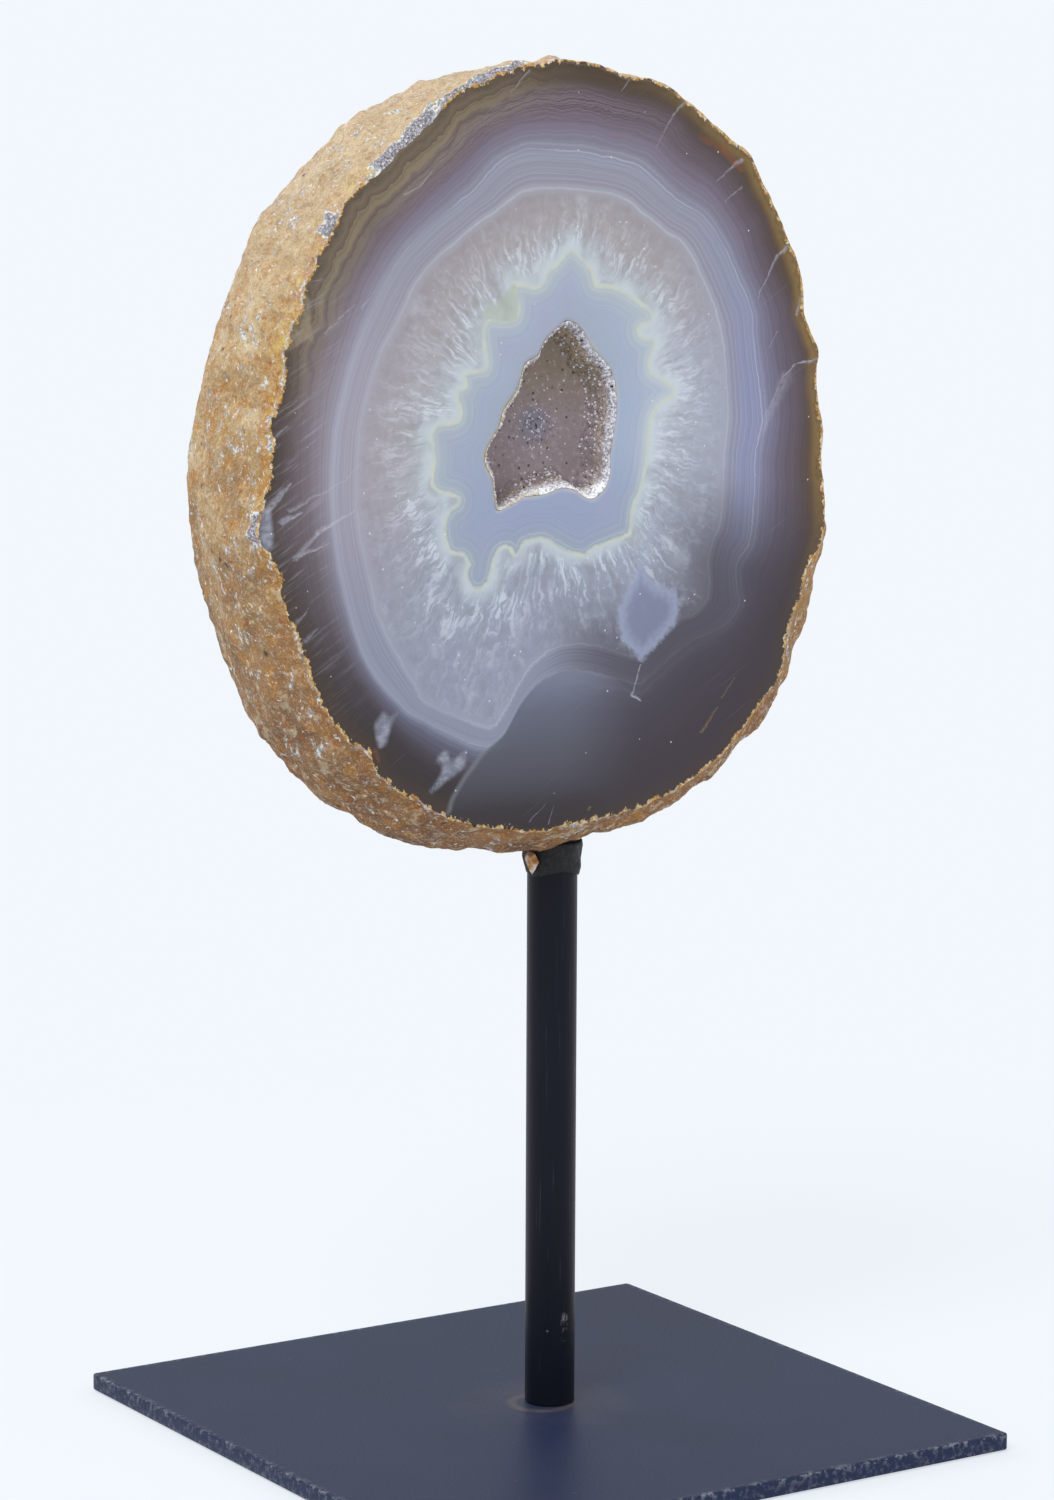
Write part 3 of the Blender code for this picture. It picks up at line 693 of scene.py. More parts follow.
STREAKS = (
    Streak((-61.8, 170.2), (-56.6, 175.4), 1.1, 0.5, 0.50),
    Streak((-57.6, 174.4), (-49.4, 178.5), 0.9, 0.2, 0.80),
    Streak((-62, 170.4), (-55.1, 172.7), 0.8, 0.2, 0.65),
    Streak((-64.8, 176.8), (-60.6, 178.3), 1.0, 0.4, 0.70),
    Streak((-67.3, 179.2), (-62.8, 183.5), 1.6, 0.4, 0.60),
    Streak((-63.4, 178.6), (-51.8, 183.6), 0.7, 0.3, 0.45),
    Streak((-51.5, 184), (-48.5, 186.5), 0.4, 0.2, 0.35),
    Streak((-67.2, 190.5), (-63.4, 193.8), 0.9, 0.2, 0.40),
    Streak((-66.8, 195.2), (-61.5, 198.2), 0.5, 0.2, 0.30),
    Streak((-62, 158.4), (-59.3, 161.4), 0.8, 0.2, 0.40),
    Streak((-60, 155.6), (-57.6, 157.6), 0.8, 0.3, 0.35),
    Streak((-56, 209.5), (-52.6, 212.2), 0.5, 0.2, 0.45),
    Streak((-53, 212), (-49.6, 214.6), 0.5, 0.2, 0.45),
    Streak((-48.5, 213.8), (-45.6, 217.2), 0.4, 0.2, 0.35),
    Streak((-60, 218.2), (-56.5, 219.6), 0.5, 0.2, 0.35),
    Streak((-60.4, 214), (-56.4, 215.4), 0.5, 0.2, 0.35),
    Streak((-39.5, 233.8), (-36.4, 235), 0.4, 0.3, 0.50),
    Streak((-36.4, 235), (-33.8, 237.8), 0.5, 0.2, 0.45),
    Streak((52.4, 202.4), (46.5, 201.2), 0.5, 0.3, 0.80),
    Streak((46.5, 201.2), (43.8, 198.8), 0.5, 0.3, 0.65),
    Streak((43.8, 198.8), (38.8, 190), 0.5, 0.2, 0.50),
    Streak((44.2, 199), (38, 187.2), 2.6, 0.6, 0.30),
    Streak((45, 223.8), (42, 221.7), 0.9, 0.4, 0.65),
    Streak((42, 221.7), (37.8, 213.8), 0.6, 0.2, 0.60),
    Streak((42.3, 207.6), (40.5, 204.6), 0.35, 0.2, 0.40),
    Streak((48.6, 216), (46.6, 210.6), 1.2, 0.6, 0.55),
    Streak((33.5, 239.8), (31, 238), 0.8, 0.4, 0.65),
    Streak((31, 238), (28.3, 235.8), 0.5, 0.2, 0.40),
    Streak((33.7, 234.6), (30.2, 231.8), 0.5, 0.2, 0.40),
    Streak((20.8, 250.4), (18, 247.6), 0.7, 0.4, 0.55),
    Streak((18, 247.6), (14.5, 242), 0.4, 0.2, 0.35),
    Streak((8.3, 254.2), (6.5, 252), 0.5, 0.2, 0.45),
    Streak((-13.5, 255.6), (-17.5, 251.5), 0.5, 0.2, 0.40),
    Streak((-12.5, 119), (-9, 122.3), 0.25, 0.1, 0.40),
    Streak((-8.3, 118.4), (-7.2, 121.6), 0.25, 0.1, 0.50),
    Streak((11.8, 146.5), (10.5, 142.5), 0.35, 0.35, 0.75),
    Streak((10.5, 142.5), (9.9, 141), 0.35, 0.6, 0.75),
    Streak((9.9, 141), (12.1, 139.8), 0.6, 0.4, 0.75),
    Streak((29, 241.6), (33.5, 237.6), 1.5, 1.0, 0.65, Hue.RUST),
    Streak((24.5, 243.6), (29, 241.6), 1.0, 1.3, 0.50, Hue.RUST),
    Streak((-45.9, 134.6), (-45, 132.9), 1.1, 0.8, 0.60, Hue.RUST),
    Streak((25.8, 132.9), (29.6, 137.2), 0.6, 0.4, 0.60, Hue.STRAW),
    Streak((30.6, 139), (33.4, 142.8), 0.4, 0.2, 0.45, Hue.STRAW),
    Streak((0.5, 120.2), (0.9, 120.9), 0.5, 0.5, 0.80, Hue.STRAW),
)


@dataclass(frozen=True)
class Chip:
    """A place where the cut edge broke away and shows bare stone."""

    start: float
    end: float
    reach: float
    depth: float


EDGE_CHIPS = (
    Chip(112.0, 129.5, 1.4, 1.2),
    Chip(103.0, 114.0, 0.8, 0.5),
    Chip(95.0, 105.5, 1.0, 1.0),
    Chip(138.0, 143.0, 1.5, 1.5),
    Chip(190.0, 196.2, 0.6, 1.6),
)


@dataclass
class MeshSketch:
    """Collects vertices, faces and stored values, and makes one object of them."""

    points: List[np.ndarray] = field(default_factory=list)
    faces: List[np.ndarray] = field(default_factory=list)
    slots: List[np.ndarray] = field(default_factory=list)
    count: int = 0

    def add_points(self, points: np.ndarray) -> np.ndarray:
        """Add vertices, in millimetres, and return their numbers.

        Args:
            points: The new vertices.

        Returns:
            Their numbers in the mesh.
        """
        numbers = np.arange(self.count, self.count + len(points))
        self.points.append(points)
        self.count += len(points)
        return numbers

    def add_faces(self, faces: np.ndarray, slot: int = 0) -> None:
        """Add faces with the same number of corners."""
        self.faces.append(faces)
        self.slots.append(np.full(len(faces), slot))

    def bridge(self, near: np.ndarray, far: np.ndarray, slot: int = 0) -> None:
        """Join two closed loops of the same length with quads."""
        quads = np.stack((near, np.roll(near, -1), np.roll(far, -1), far), axis=1)
        self.add_faces(quads, slot)

    def skin(self, loops: Sequence[np.ndarray], slot: int = 0, flip: bool = False) -> None:
        """Join each loop with the next, with the faces turned over if flip is set.

        Args:
            loops: The loops' vertex numbers.
            slot: The faces' material slot.
            flip: Whether the faces are turned over.
        """
        for near, far in zip(loops, loops[1:]):
            if flip:
                near, far = far, near
            self.bridge(near, far, slot)

    def close(self, loop: np.ndarray, middle: Sequence[float], slot: int = 0) -> None:
        """Close a loop with triangles round a middle point."""
        centre = np.full(len(loop), self.add_points(np.array([middle]))[0])
        self.add_faces(np.stack((loop, np.roll(loop, -1), centre), axis=1), slot)

    def all_points(self) -> np.ndarray:
        """Return every vertex, in millimetres."""
        return np.concatenate(self.points)

    def make(self, name: str, materials: Sequence[bpy.types.Material],
             values: Optional[Dict[str, np.ndarray]] = None) -> bpy.types.Object:
        """Make the object, with outward normals and smooth shading.

        Args:
            name: The object's name.
            materials: Its materials, in slot order.
            values: Values stored on its vertices, one number or three each.

        Returns:
            The new object.
        """
        mesh = bpy.data.meshes.new(name)
        faces = [face for group in self.faces for face in group.tolist()]
        mesh.from_pydata((self.all_points() * MM).tolist(), [], faces)
        mesh.polygons.foreach_set("material_index", np.concatenate(self.slots).astype(np.int32))
        for key, value in (values or {}).items():
            kind = "FLOAT" if value.ndim == 1 else "FLOAT_VECTOR"
            slot_name = "value" if value.ndim == 1 else "vector"
            layer = mesh.attributes.new(key, kind, "POINT")
            layer.data.foreach_set(slot_name, value.astype(np.float32).ravel())
        bm = bmesh.new()
        bm.from_mesh(mesh)
        bmesh.ops.recalc_face_normals(bm, faces=bm.faces)
        bm.to_mesh(mesh)
        bm.free()
        mesh.shade_smooth()
        obj = bpy.data.objects.new(name, mesh)
        bpy.context.scene.collection.objects.link(obj)
        for material in materials:
            mesh.materials.append(material)
        return obj


class FaceSketch(Sketch):
    """A material sketch with the values that are stored on the polished face."""

    def __init__(self, name: str) -> None:
        """Read the flat place, the flow outwards, the bands and the contours' depths.

        Args:
            name: The material's name.
        """
        super().__init__(name)
        self.flat = self.in_mm(0.0)
        self.flow = self.stored_vector("flow")
        wobble = self.minus(self.noise(self.flat, 0.3, 3.0), 0.5)
        self.band = self.plus(wobble, 0.09, self.stored("band"))
        self.lines = self.split(self.stored_vector("lines"))
        self.ragged = self.minus(self.noise(self.flat, 0.9, 3.0), 0.5)


@dataclass(frozen=True)
class AgateFinish:
    """Polished agate: bands that follow the contours, quartz fibres, veins and patches.

    Each palette lists colours from the hollow's edge at 0 to the stone's edge at 5.
    """

    name: str = "polished agate"
    streak_gain: float = 0.85
    top: Tuple[Tuple[float, str], ...] = (
        (0.0, "#b5b1a6"), (0.06, "#9ea8b8"), (0.60, "#a1abbe"), (0.93, "#aeb7bd"),
        (1.06, "#b2b9be"), (1.25, "#abacb1"), (1.50, "#a5a0a3"), (1.90, "#9a9499"),
        (2.02, "#a0a1ab"), (2.12, "#918f9b"), (2.90, "#8e909e"), (3.10, "#828190"),
        (3.40, "#766c7b"), (3.70, "#60545d"), (4.0, "#514444"), (4.3, "#4c3e33"),
        (4.7, "#4b3a29"), (5.0, "#5c4527"),
    )
    right: Tuple[Tuple[float, str], ...] = (
        (0.0, "#b5b1a6"), (0.06, "#9facc1"), (0.60, "#a2adc1"), (0.93, "#b6bfc8"),
        (1.06, "#bfc7d0"), (1.25, "#b0b5c1"), (1.50, "#a6a9b7"), (1.90, "#a0a3b2"),
        (2.02, "#9c9dad"), (2.12, "#9090a2"), (2.60, "#878caa"), (3.00, "#8688a5"),
        (3.12, "#7e7d96"), (3.5, "#655c6c"), (4.0, "#544749"), (4.3, "#584436"),
        (4.7, "#7b6238"), (5.0, "#94713a"),
    )
    bottom: Tuple[Tuple[float, str], ...] = (
        (0.0, "#b5b1a6"), (0.06, "#949fb9"), (0.60, "#939db6"), (0.93, "#97a1b0"),
        (1.06, "#99a2b1"), (1.5, "#9398a9"), (1.90, "#8e92a3"), (2.02, "#9599a9"),
        (2.12, "#888c9f"), (2.60, "#84889b"), (3.00, "#8a8e9f"), (3.12, "#727689"),
        (3.30, "#5b5a6c"), (3.60, "#484450"), (3.80, "#3a333b"), (4.0, "#332b2f"),
        (4.5, "#302727"), (5.0, "#3a2e22"),
    )
    left: Tuple[Tuple[float, str], ...] = (
        (0.0, "#c0b491"), (0.06, "#9ba5b7"), (0.60, "#9da7ba"), (0.93, "#aab3b9"),
        (1.06, "#afb7bd"), (1.3, "#a9a9ae"), (1.60, "#a5a0a6"), (1.90, "#9f99a1"),
        (2.02, "#a4a2ae"), (2.15, "#9f9aa5"), (2.70, "#9c98a5"), (3.00, "#a1a1ae"),
        (3.15, "#9692a0"), (3.4, "#8b838d"), (3.7, "#827982"), (4.0, "#746970"),
        (4.5, "#5b4f51"), (4.85, "#493e3b"), (5.0, "#4c3d2d"),
    )

    def streak(self, s: Sketch, place: Socket, mark: Streak) -> Socket:
        """Return the strength of one streak at a place on the face.

        Args:
            s: The sketch of the face.
            place: The place, shaken a little.
            mark: The streak.

        Returns:
            Its strength, 0 away from it.
        """
        start = Vector((mark.start[0], 0.0, mark.start[1]))
        along = Vector((mark.end[0], 0.0, mark.end[1])) - start
        across = Vector((-along.z, 0.0, along.x)).normalized()
        away = s.vector("SUBTRACT", place, tuple(start)).outputs[0]
        share = s.vector("DOT_PRODUCT", away, tuple(along / along.length_squared))
        share = s.math("MAXIMUM", s.math("MINIMUM", share.outputs["Value"], 1.0), 0.0)
        side = s.vector("DOT_PRODUCT", away, tuple(across)).outputs["Value"]
        nearest = s.vector("SCALE", tuple(along), share).outputs[0]
        distance = s.vector("DISTANCE", away, nearest).outputs["Value"]
        reach = s.plus(share, mark.tip - mark.width, mark.width)
        reach = s.times(reach, s.ease(side, -0.1, 0.5, 0.55, mark.spread))
        near = s.drop(s.math("DIVIDE", distance, reach), 0.1, 1.0)
        return s.times(near, mark.strength * self.streak_gain)

    def base(self, s: FaceSketch) -> Socket:
        """Return the colours of the zones, blended round the stone.

        Args:
            s: The sketch of the face.

        Returns:
            The ground colour.
        """
        around = s.split(s.flow)
        colours = []
        for side in (self.left, self.right, self.top, self.bottom):
            stops = [(at / RIM_BAND, hue) for at, hue in side]
            colours.append(s.ramp(s.math("DIVIDE", s.band, RIM_BAND), stops))
        colour = s.mix(s.ease(around[0], -0.75, 0.75), colours[0], colours[1])
        colour = s.tint(colour, colours[2], around[1], 0.1, 0.95)
        return s.fade(colour, colours[3], around[1], -0.95, -0.1)

    def make(self) -> bpy.types.Material:
        """Build the material.

        Returns:
            The material.
        """
        s = FaceSketch(self.name)
        colour = self.base(s)
        for layer in (self.fine_lines, self.outer_bands, self.quartz, self.scallops,
                      self.patches, self.marks, self.edge):
            colour = layer(s, colour)
        dust = s.noise(s.flat, 1.3, 4.0, 0.7)
        s.set(Base_Color=colour, Roughness=s.ease(dust, 0.3, 0.8, 0.14, 0.26))
        s.set(IOR=1.54, Specular_IOR_Level=0.32)
        s.set(Normal=s.bump(s.noise(s.flat, 0.5, 3.0), 0.00002, 0.3))
        return s.material

    def fine_lines(self, s: FaceSketch, colour: Socket) -> Socket:
        """Draw the group of thin pale lines outside the quartz.

        Args:
            s: The sketch of the face.
            colour: The colour so far.

        Returns:
            The new colour.
        """
        peaks = ((2.0, 0.8), (2.1, 0.4), (2.24, 0.25), (2.4, 0.4), (2.56, 0.25), (2.74, 0.4),
                 (2.88, 0.5), (3.0, 0.9), (3.1, 0.35))
        first, span, half = 1.9, 1.35, 0.022
        levels = [(0.0, 0.0)]
        for at, level in peaks:
            middle = (at - first) / span
            levels += [(middle - half, 0.0), (middle, level), (middle + half, 0.0)]
        levels.append((1.0, 0.0))
        stops = [(at, (level, level, level, 1.0)) for at, level in levels]
        comb = s.grey(s.ramp(s.ease_linear(s.band, first, first + span), stops))
        broken = s.ease(s.noise(s.stretch(s.flow, (2.5, 2.5, 3.0)), 1.0, 2.0), 0.3, 0.6, 0.25, 1.0)
        soft = s.minus(1.0, s.times(s.lobe(s.flow, 190.0, 75.0), 0.7))
        return s.mix(s.times(comb, broken, soft, 0.6), colour, "#b7bcc8")

    def outer_bands(self, s: FaceSketch, colour: Socket) -> Socket:
        """Add faint parallel banding, and the amber and tan streaks near the edge.

        Args:
            s: The sketch of the face.
            colour: The colour so far.

        Returns:
            The new colour.
        """
        bend = s.times(s.noise(s.flat, 0.10, 3.0), 1.1)
        run = s.plus(s.band, 15.0, bend)
        fine = s.line_noise(run, 1.0, 3.0)
        outer = s.ease(s.band, 1.95, 2.3, 0.10, 0.60)
        colour = s.vary(colour, outer, fine, 0.32, 0.68, (0.88, 0.87, 0.88), (1.09, 1.09, 1.10))
        wavy = s.times(s.lobe(s.flow, 100.0, 48.0), s.stripe(s.band, 3.75, 0.45))
        ripple = s.times(s.noise(s.flat, 0.22, 3.0, 0.6), 7.0)
        ripple = s.line_noise(s.plus(s.band, 34.0, ripple), 1.0, 2.0)
        plum = s.mix(s.ease(ripple, 0.38, 0.62), "#584850", "#7b707c")
        colour = s.mix(s.times(wavy, 0.6), colour, plum)
        dusk = s.times(s.lobe(s.flow, 306.0, 42.0), s.ease(s.band, 1.2, 2.2))
        colour = s.mix(s.times(dusk, 0.84), colour, "#3a313a")
        inside = s.stored("rimward")
        drift = s.times(s.noise(s.flat, 0.16, 3.0, 0.6), 3.0)
        olive = s.times(s.lobe(s.flow, 132.0, 52.0), s.drop(inside, 2.0, 11.0))
        grain = s.line_noise(s.plus(inside, 0.75, drift), 1.0, 3.0)
        gilt = s.ramp(grain, ((0.32, "#6c5f4e"), (0.45, "#877966"), (0.56, "#a0906d"),
                              (0.66, "#92877d")))
        colour = s.mix(s.times(olive, 0.62), colour, gilt)
        brown = s.ease(s.math("ADD", inside, drift), 1.5, 6.5, 0.5, 0.0)
        side = s.minus(1.0, s.lobe(s.flow, 20.0, 75.0))
        colour = s.mix(s.times(brown, side), colour, "#43362c")
        honey = s.ease(s.plus(drift, 0.5, inside), 1.2, 4.2, 0.75, 0.0)
        honey = s.times(honey, s.lobe(s.flow, 32.0, 48.0))
        return s.mix(honey, colour, "#8b7040")

    def quartz(self, s: FaceSketch, colour: Socket) -> Socket:
        """Add the quartz's radiating blades, clouds, dull cores and bright specks.

        Args:
            s: The sketch of the face.
            colour: The colour so far.

        Returns:
            The new colour.
        """
        window = s.times(s.drop(s.lines[0], -2.2, -0.4), s.ease(s.lines[1], 0.2, 2.2))
        jitter = s.shake(s.flat, 0.25, (0.10, 0.10, 0.16))
        bent = s.vector("ADD", s.flow, jitter).outputs[0]
        fine = s.noise(s.stretch(bent, (46.0, 46.0, 3.6)), 1.0, 3.0, 0.6)
        coarse = s.noise(s.stretch(bent, (17.0, 17.0, 1.5)), 1.0, 3.0, 0.6)
        cluster = s.noise(s.flat, 0.10, 2.0)
        near = s.ease(s.band, 1.08, 1.85, 1.0, 0.12)
        mottle = s.noise(s.flat, 0.5, 5.0, 0.68)
        colour = s.vary(colour, window, mottle, 0.30, 0.70, (0.92, 0.91, 0.90), (1.05, 1.05, 1.06))
        dull = s.times(s.drop(coarse, 0.34, 0.52), near, window, 0.42)
        colour = s.mix(dull, colour, "#85807f")
        blades = s.times(s.ease(fine, 0.47, 0.60), s.ease(coarse, 0.40, 0.56))
        blades = s.times(blades, s.ease(cluster, 0.34, 0.54, 0.35, 1.0), near, window, 0.8)
        colour = s.mix(blades, colour, "#cfd5de")
        cloud = s.times(s.ease(s.noise(s.flat, 0.17, 4.0, 0.6), 0.52, 0.72), window, 0.26)
        colour = s.mix(cloud, colour, Hue.FROST)
        glints = s.times(s.specks(s.flat, 0.75, (0.86, 0.90), (0.08, 0.20)), window, 0.45)
        return s.mix(glints, colour, Hue.WHITE)

    def scallops(self, s: FaceSketch, colour: Socket) -> Socket:
        """Draw the scalloped pale line, its halo and the faint echoes inside it.

        Args:
            s: The sketch of the face.
            colour: The colour so far.

        Returns:
            The new colour.
        """
        edge = s.plus(s.ragged, 1.0, s.lines[0])
        depth = s.times(s.noise(s.flat, 0.22, 3.0), 5.0)
        halo = s.ease(s.minus(edge, depth), -6.6, -2.4, 0.0, 0.75)
        halo = s.times(halo, s.drop(edge, -0.6, 0.2))
        moved = s.vector("ADD", s.flat, s.shake(s.flat, 0.3, (3.0, 0.0, 3.0))).outputs[0]
        cell = s.cells(moved, 0.22, "SMOOTH_F1")
        core = s.ease(cell.outputs["Distance"], 0.10, 0.42, 0.75, 0.0)
        colour = s.mix(halo, colour, s.mix(core, "#c3ccd2", "#9b9da0"))
        echo = s.line_noise(s.plus(s.lines[0], 1.9, s.ragged), 1.0, 2.0)
        inner = s.times(s.ease(s.lines[0], 0.4, 1.2), s.ease(s.lines[0], 2.0, 8.0, 0.55, 0.05))
        colour = s.vary(colour, inner, echo, 0.35, 0.65, (0.93, 0.93, 0.94), (1.07, 1.07, 1.05))
        violet = s.times(s.ease(s.noise(s.flat, 0.07, 2.0), 0.46, 0.62, 0.0, 0.26),
                         s.ease(s.lines[0], 0.5, 3.0))
        colour = s.mix(violet, colour, "#a39db8")
        lit = s.ease(s.noise(s.flat, 0.25, 2.0), 0.3, 0.65, 0.4, 0.95)
        colour = s.mix(s.times(s.stripe(edge, -0.1, 0.75), lit), colour, "#c5c9ba")
        faint = s.times(s.stripe(edge, 0.9, 0.35), 0.3)
        return s.mix(faint, colour, "#b9c2c4")

    def patches(self, s: FaceSketch, colour: Socket) -> Socket:
        """Lay in the blue patch, the grey mound, the cream cell and the chips.

        Args:
            s: The sketch of the face.
            colour: The colour so far.

        Returns:
            The new colour.
        """
        axes = s.split(s.flat)
        level = s.ease_linear(axes[2], 117.0, 148.0)
        tone = s.ramp(level, ((0.0, "#2a2124"), (0.16, "#332d31"), (0.32, "#484752"),
                              (0.50, "#52545f"), (0.72, "#5e6172"), (0.92, "#73778b")))
        mound = s.stored("mound")
        leftward = s.drop(axes[0], -8.0, 13.0)
        shade = s.times(s.ease(mound, -0.15, 0.45, 0.0, 0.95), leftward)
        colour = s.mix(shade, colour, tone)
        crisp = s.times(s.stripe(mound, 0.2, 0.9), s.ease(axes[0], -24.0, -17.0, 0.42, 0.0))
        colour = s.mix(crisp, colour, "#83878a")
        blue = s.plus(s.ragged, 2.6, s.stored("blue_patch"))
        depth = s.ease(blue, 0.0, 3.6)
        inside = s.mix(depth, "#98a0b8", "#7b7f9b")
        colour = s.tint(colour, inside, blue, -0.5, 1.0, 0.88)
        cream = s.plus(s.ragged, 1.0, s.stored("cream_cell"))
        colour = s.tint(colour, "#aaaf9f", cream, -0.4, 0.8, 0.6)
        chip = s.plus(s.ragged, 0.6, s.stored("chips"))
        flaw = s.noise(s.stretch(s.flat, (0.6, 1.0, 1.2)), 0.55, 3.0, 0.6)
        glass = s.mix(s.ease(flaw, 0.38, 0.66), "#7b7d8b", "#9da0ae")
        colour = s.tint(colour, glass, chip, -0.3, 0.9, 0.8)
        shard = s.plus(s.ragged, 0.7, s.stored("shard"))
        horn = s.mix(s.noise(s.flat, 0.5, 3.0), "#857250", "#a99c86")
        return s.tint(colour, horn, shard, -0.1, 0.8, 0.6)

    def marks(self, s: FaceSketch, colour: Socket) -> Socket:
        """Draw the healed cracks, the stains and the faint slanting hairlines.

        Args:
            s: The sketch of the face.
            colour: The colour so far.

        Returns:
            The new colour.
        """
        shaken = s.vector("ADD", s.flat, s.shake(s.flat, 0.35, (1.3, 0.0, 1.3))).outputs[0]
        grit = s.ease(s.noise(s.flat, 1.1, 4.0, 0.75), 0.32, 0.58, 0.25, 1.0)
        for hue in (Hue.VEIN, Hue.RUST, Hue.STRAW):
            total: Value = 0.0
            for mark in STREAKS:
                if mark.hue is hue:
                    total = s.math("MAXIMUM", self.streak(s, shaken, mark), total)
            colour = s.mix(s.times(total, grit), colour, hue)
        turned = s.turn(s.flat, 32.0)
        hair = s.noise(s.stretch(turned, (0.045, 1.0, 3.2)), 1.0, 2.0, 0.4)
        colour = s.tint(colour, Hue.FROST, hair, 0.68, 0.82, 0.13)
        healed = s.noise(s.stretch(turned, (0.10, 1.0, 1.3)), 1.0, 4.0, 0.6)
        where = s.times(s.lobe(s.flow, 186.0, 50.0), s.ease(s.band, 3.0, 3.8))
        healed = s.times(s.ease(healed, 0.50, 0.74, 0.0, 0.28), where)
        colour = s.mix(healed, colour, Hue.VEIN)
        dots = s.times(s.specks(s.flat, 0.42, (0.86, 0.88), (0.04, 0.09)), 0.6)
        return s.mix(dots, colour, Hue.WHITE)

    def edge(self, s: FaceSketch, colour: Socket) -> Socket:
        """Let crumbs of the rind break in along the cut edge.

        Args:
            s: The sketch of the face.
            colour: The colour so far.

        Returns:
            The new colour.
        """
        inside = s.stored("rimward")
        crumb = s.times(s.noise(s.flat, 0.55, 4.0, 0.72), 4.2)
        bevel = s.lobe(s.flow, 121.5, 10.0)
        bite = s.minus(s.minus(crumb, 1.75), inside)
        bite = s.minus(bite, s.times(bevel, 1.6))
        gold = s.ramp(s.noise(s.flat, 0.9, 4.0, 0.7), ((0.34, "#8f6430"), (0.46, "#bb8c44"),
                                                       (0.55, "#cfb27a"), (0.64, "#e2dccf")))
        shade = s.tint(colour, "#3a2e26", bite, -1.3, 0.0, 0.45)
        return s.tint(shade, gold, bite, -0.12, 0.12)


@dataclass(frozen=True)
class RindFinish:
    """Sandy ochre rind: gold near the cut, chalky flecks, rust spots, small pits, painted shade and
    light.
    """

    name: str = "rind"

    def make(self) -> bpy.types.Material:
        """Build the material.

        Returns:
            The material.
        """
        s = Sketch(self.name)
        place = s.in_mm()
        axes = s.split(place)
        behind = s.stored("behind")
        wrap = s.stored_vector("wrap")
        tone = s.noise(place, 0.10, 5.0, 0.6)
        sand = s.ramp(tone, ((0.28, "#a48560"), (0.44, "#bb9a6d"), (0.56, "#c9aa7b"),
                             (0.72, "#dac8a5")))
        # Darker and browner towards the bottom: partly the rind's own colour, partly painted shade
        # on its lower side.
        clay_and_shade = s.ramp(tone, ((0.28, "#6c4c34"), (0.5, "#8b6242"), (0.72, "#a87d52")))
        colour = s.tint(clay_and_shade, sand, axes[2], 114.0, 214.0)
        near_cut = s.plus(s.noise(place, 0.22, 3.0), 10.0, behind)
        golden = s.ramp(s.noise(place, 0.28, 3.0), ((0.36, "#b87832"), (0.5, "#cc9943"),
                                                    (0.62, "#dabd62")))
        golden = s.mix(s.ease(axes[2], 135.0, 205.0), "#a06e3e", golden)
        colour = s.fade(colour, golden, near_cut, 4.5, 10.5, 0.85)
        patch = s.noise(place, 0.27, 4.0, 0.62)
        colour = s.tint(colour, "#bd8638", patch, 0.53, 0.61, 0.62)
        colour = s.fade(colour, "#dcc8a4", patch, 0.34, 0.44, 0.5)
        rust = s.noise(place, 0.55, 3.0, 0.6)
        colour = s.tint(colour, "#a5632b", rust, 0.60, 0.67, 0.75)
        # Painted light: the top of the rind is made lighter, where light from above falls.
        colour = s.tint(colour, "#eadbc0", axes[2], 195.0, 245.0, 0.4)
        # Clumps and grains: partly the rind's own grain colour, partly painted shade on the low
        # places and painted highlight on the high places of the same relief as the bump.
        clump = s.noise(place, 0.62, 4.0, 0.62)
        colour = s.fade(colour, "#8d6a48", clump, 0.36, 0.48, 0.36)
        colour = s.tint(colour, "#ead8b4", clump, 0.54, 0.66, 0.36)
        grain = s.noise(place, 2.3, 4.0, 0.72)
        colour = s.fade(colour, "#7a5636", grain, 0.36, 0.50, 0.30)
        colour = s.tint(colour, "#f0e2c6", grain, 0.52, 0.68, 0.34)
        fleck = s.noise(s.stretch(wrap, (1.0, 1.0, 1.7)), 0.28, 4.0, 0.7)
        chalky = s.mix(s.ease(s.noise(place, 1.8, 3.0), 0.42, 0.6), "#9aa1a6", "#f0efe9")
        colour = s.tint(colour, chalky, fleck, 0.585, 0.64, 0.85)
        crumb = s.plus(s.noise(place, 0.6, 3.0, 0.65), 5.0, behind)
        some = s.ease(s.noise(wrap, 0.12, 2.0), 0.40, 0.53)
        colour = s.mix(s.times(s.ease(crumb, 2.4, 3.2, 0.85, 0.0), some), colour, chalky)
        spar = s.ramp(s.noise(place, 2.6, 3.0, 0.75), ((0.36, "#605c63"), (0.46, "#8d8990"),
                                                       (0.56, "#b3afb5"), (0.64, "#efedf0")))
        chip = s.stored("bevel")
        chip = s.plus(s.minus(s.noise(place, 0.9, 4.0, 0.65), 0.5), 1.5, chip)
        colour = s.tint(colour, chalky, chip, 0.16, 0.30)
        colour = s.tint(colour, spar, chip, 0.58, 0.76)
        # Small pits: the bump sinks them, and their dark colour is painted shade.
        hole = s.specks(place, 0.30, (0.86, 0.9), (0.07, 0.26))
        colour = s.mix(s.times(hole, 0.85), colour, "#4c3f36")
        relief = s.minus(s.plus(grain, 0.3, clump), s.times(hole, 0.5))
        s.set(Base_Color=colour, Roughness=s.ease(grain, 0.3, 0.7, 0.95, 0.68))
        s.set(Specular_IOR_Level=0.3)
        s.set(Normal=s.bump(relief, 0.0020, 0.65))
        return s.material


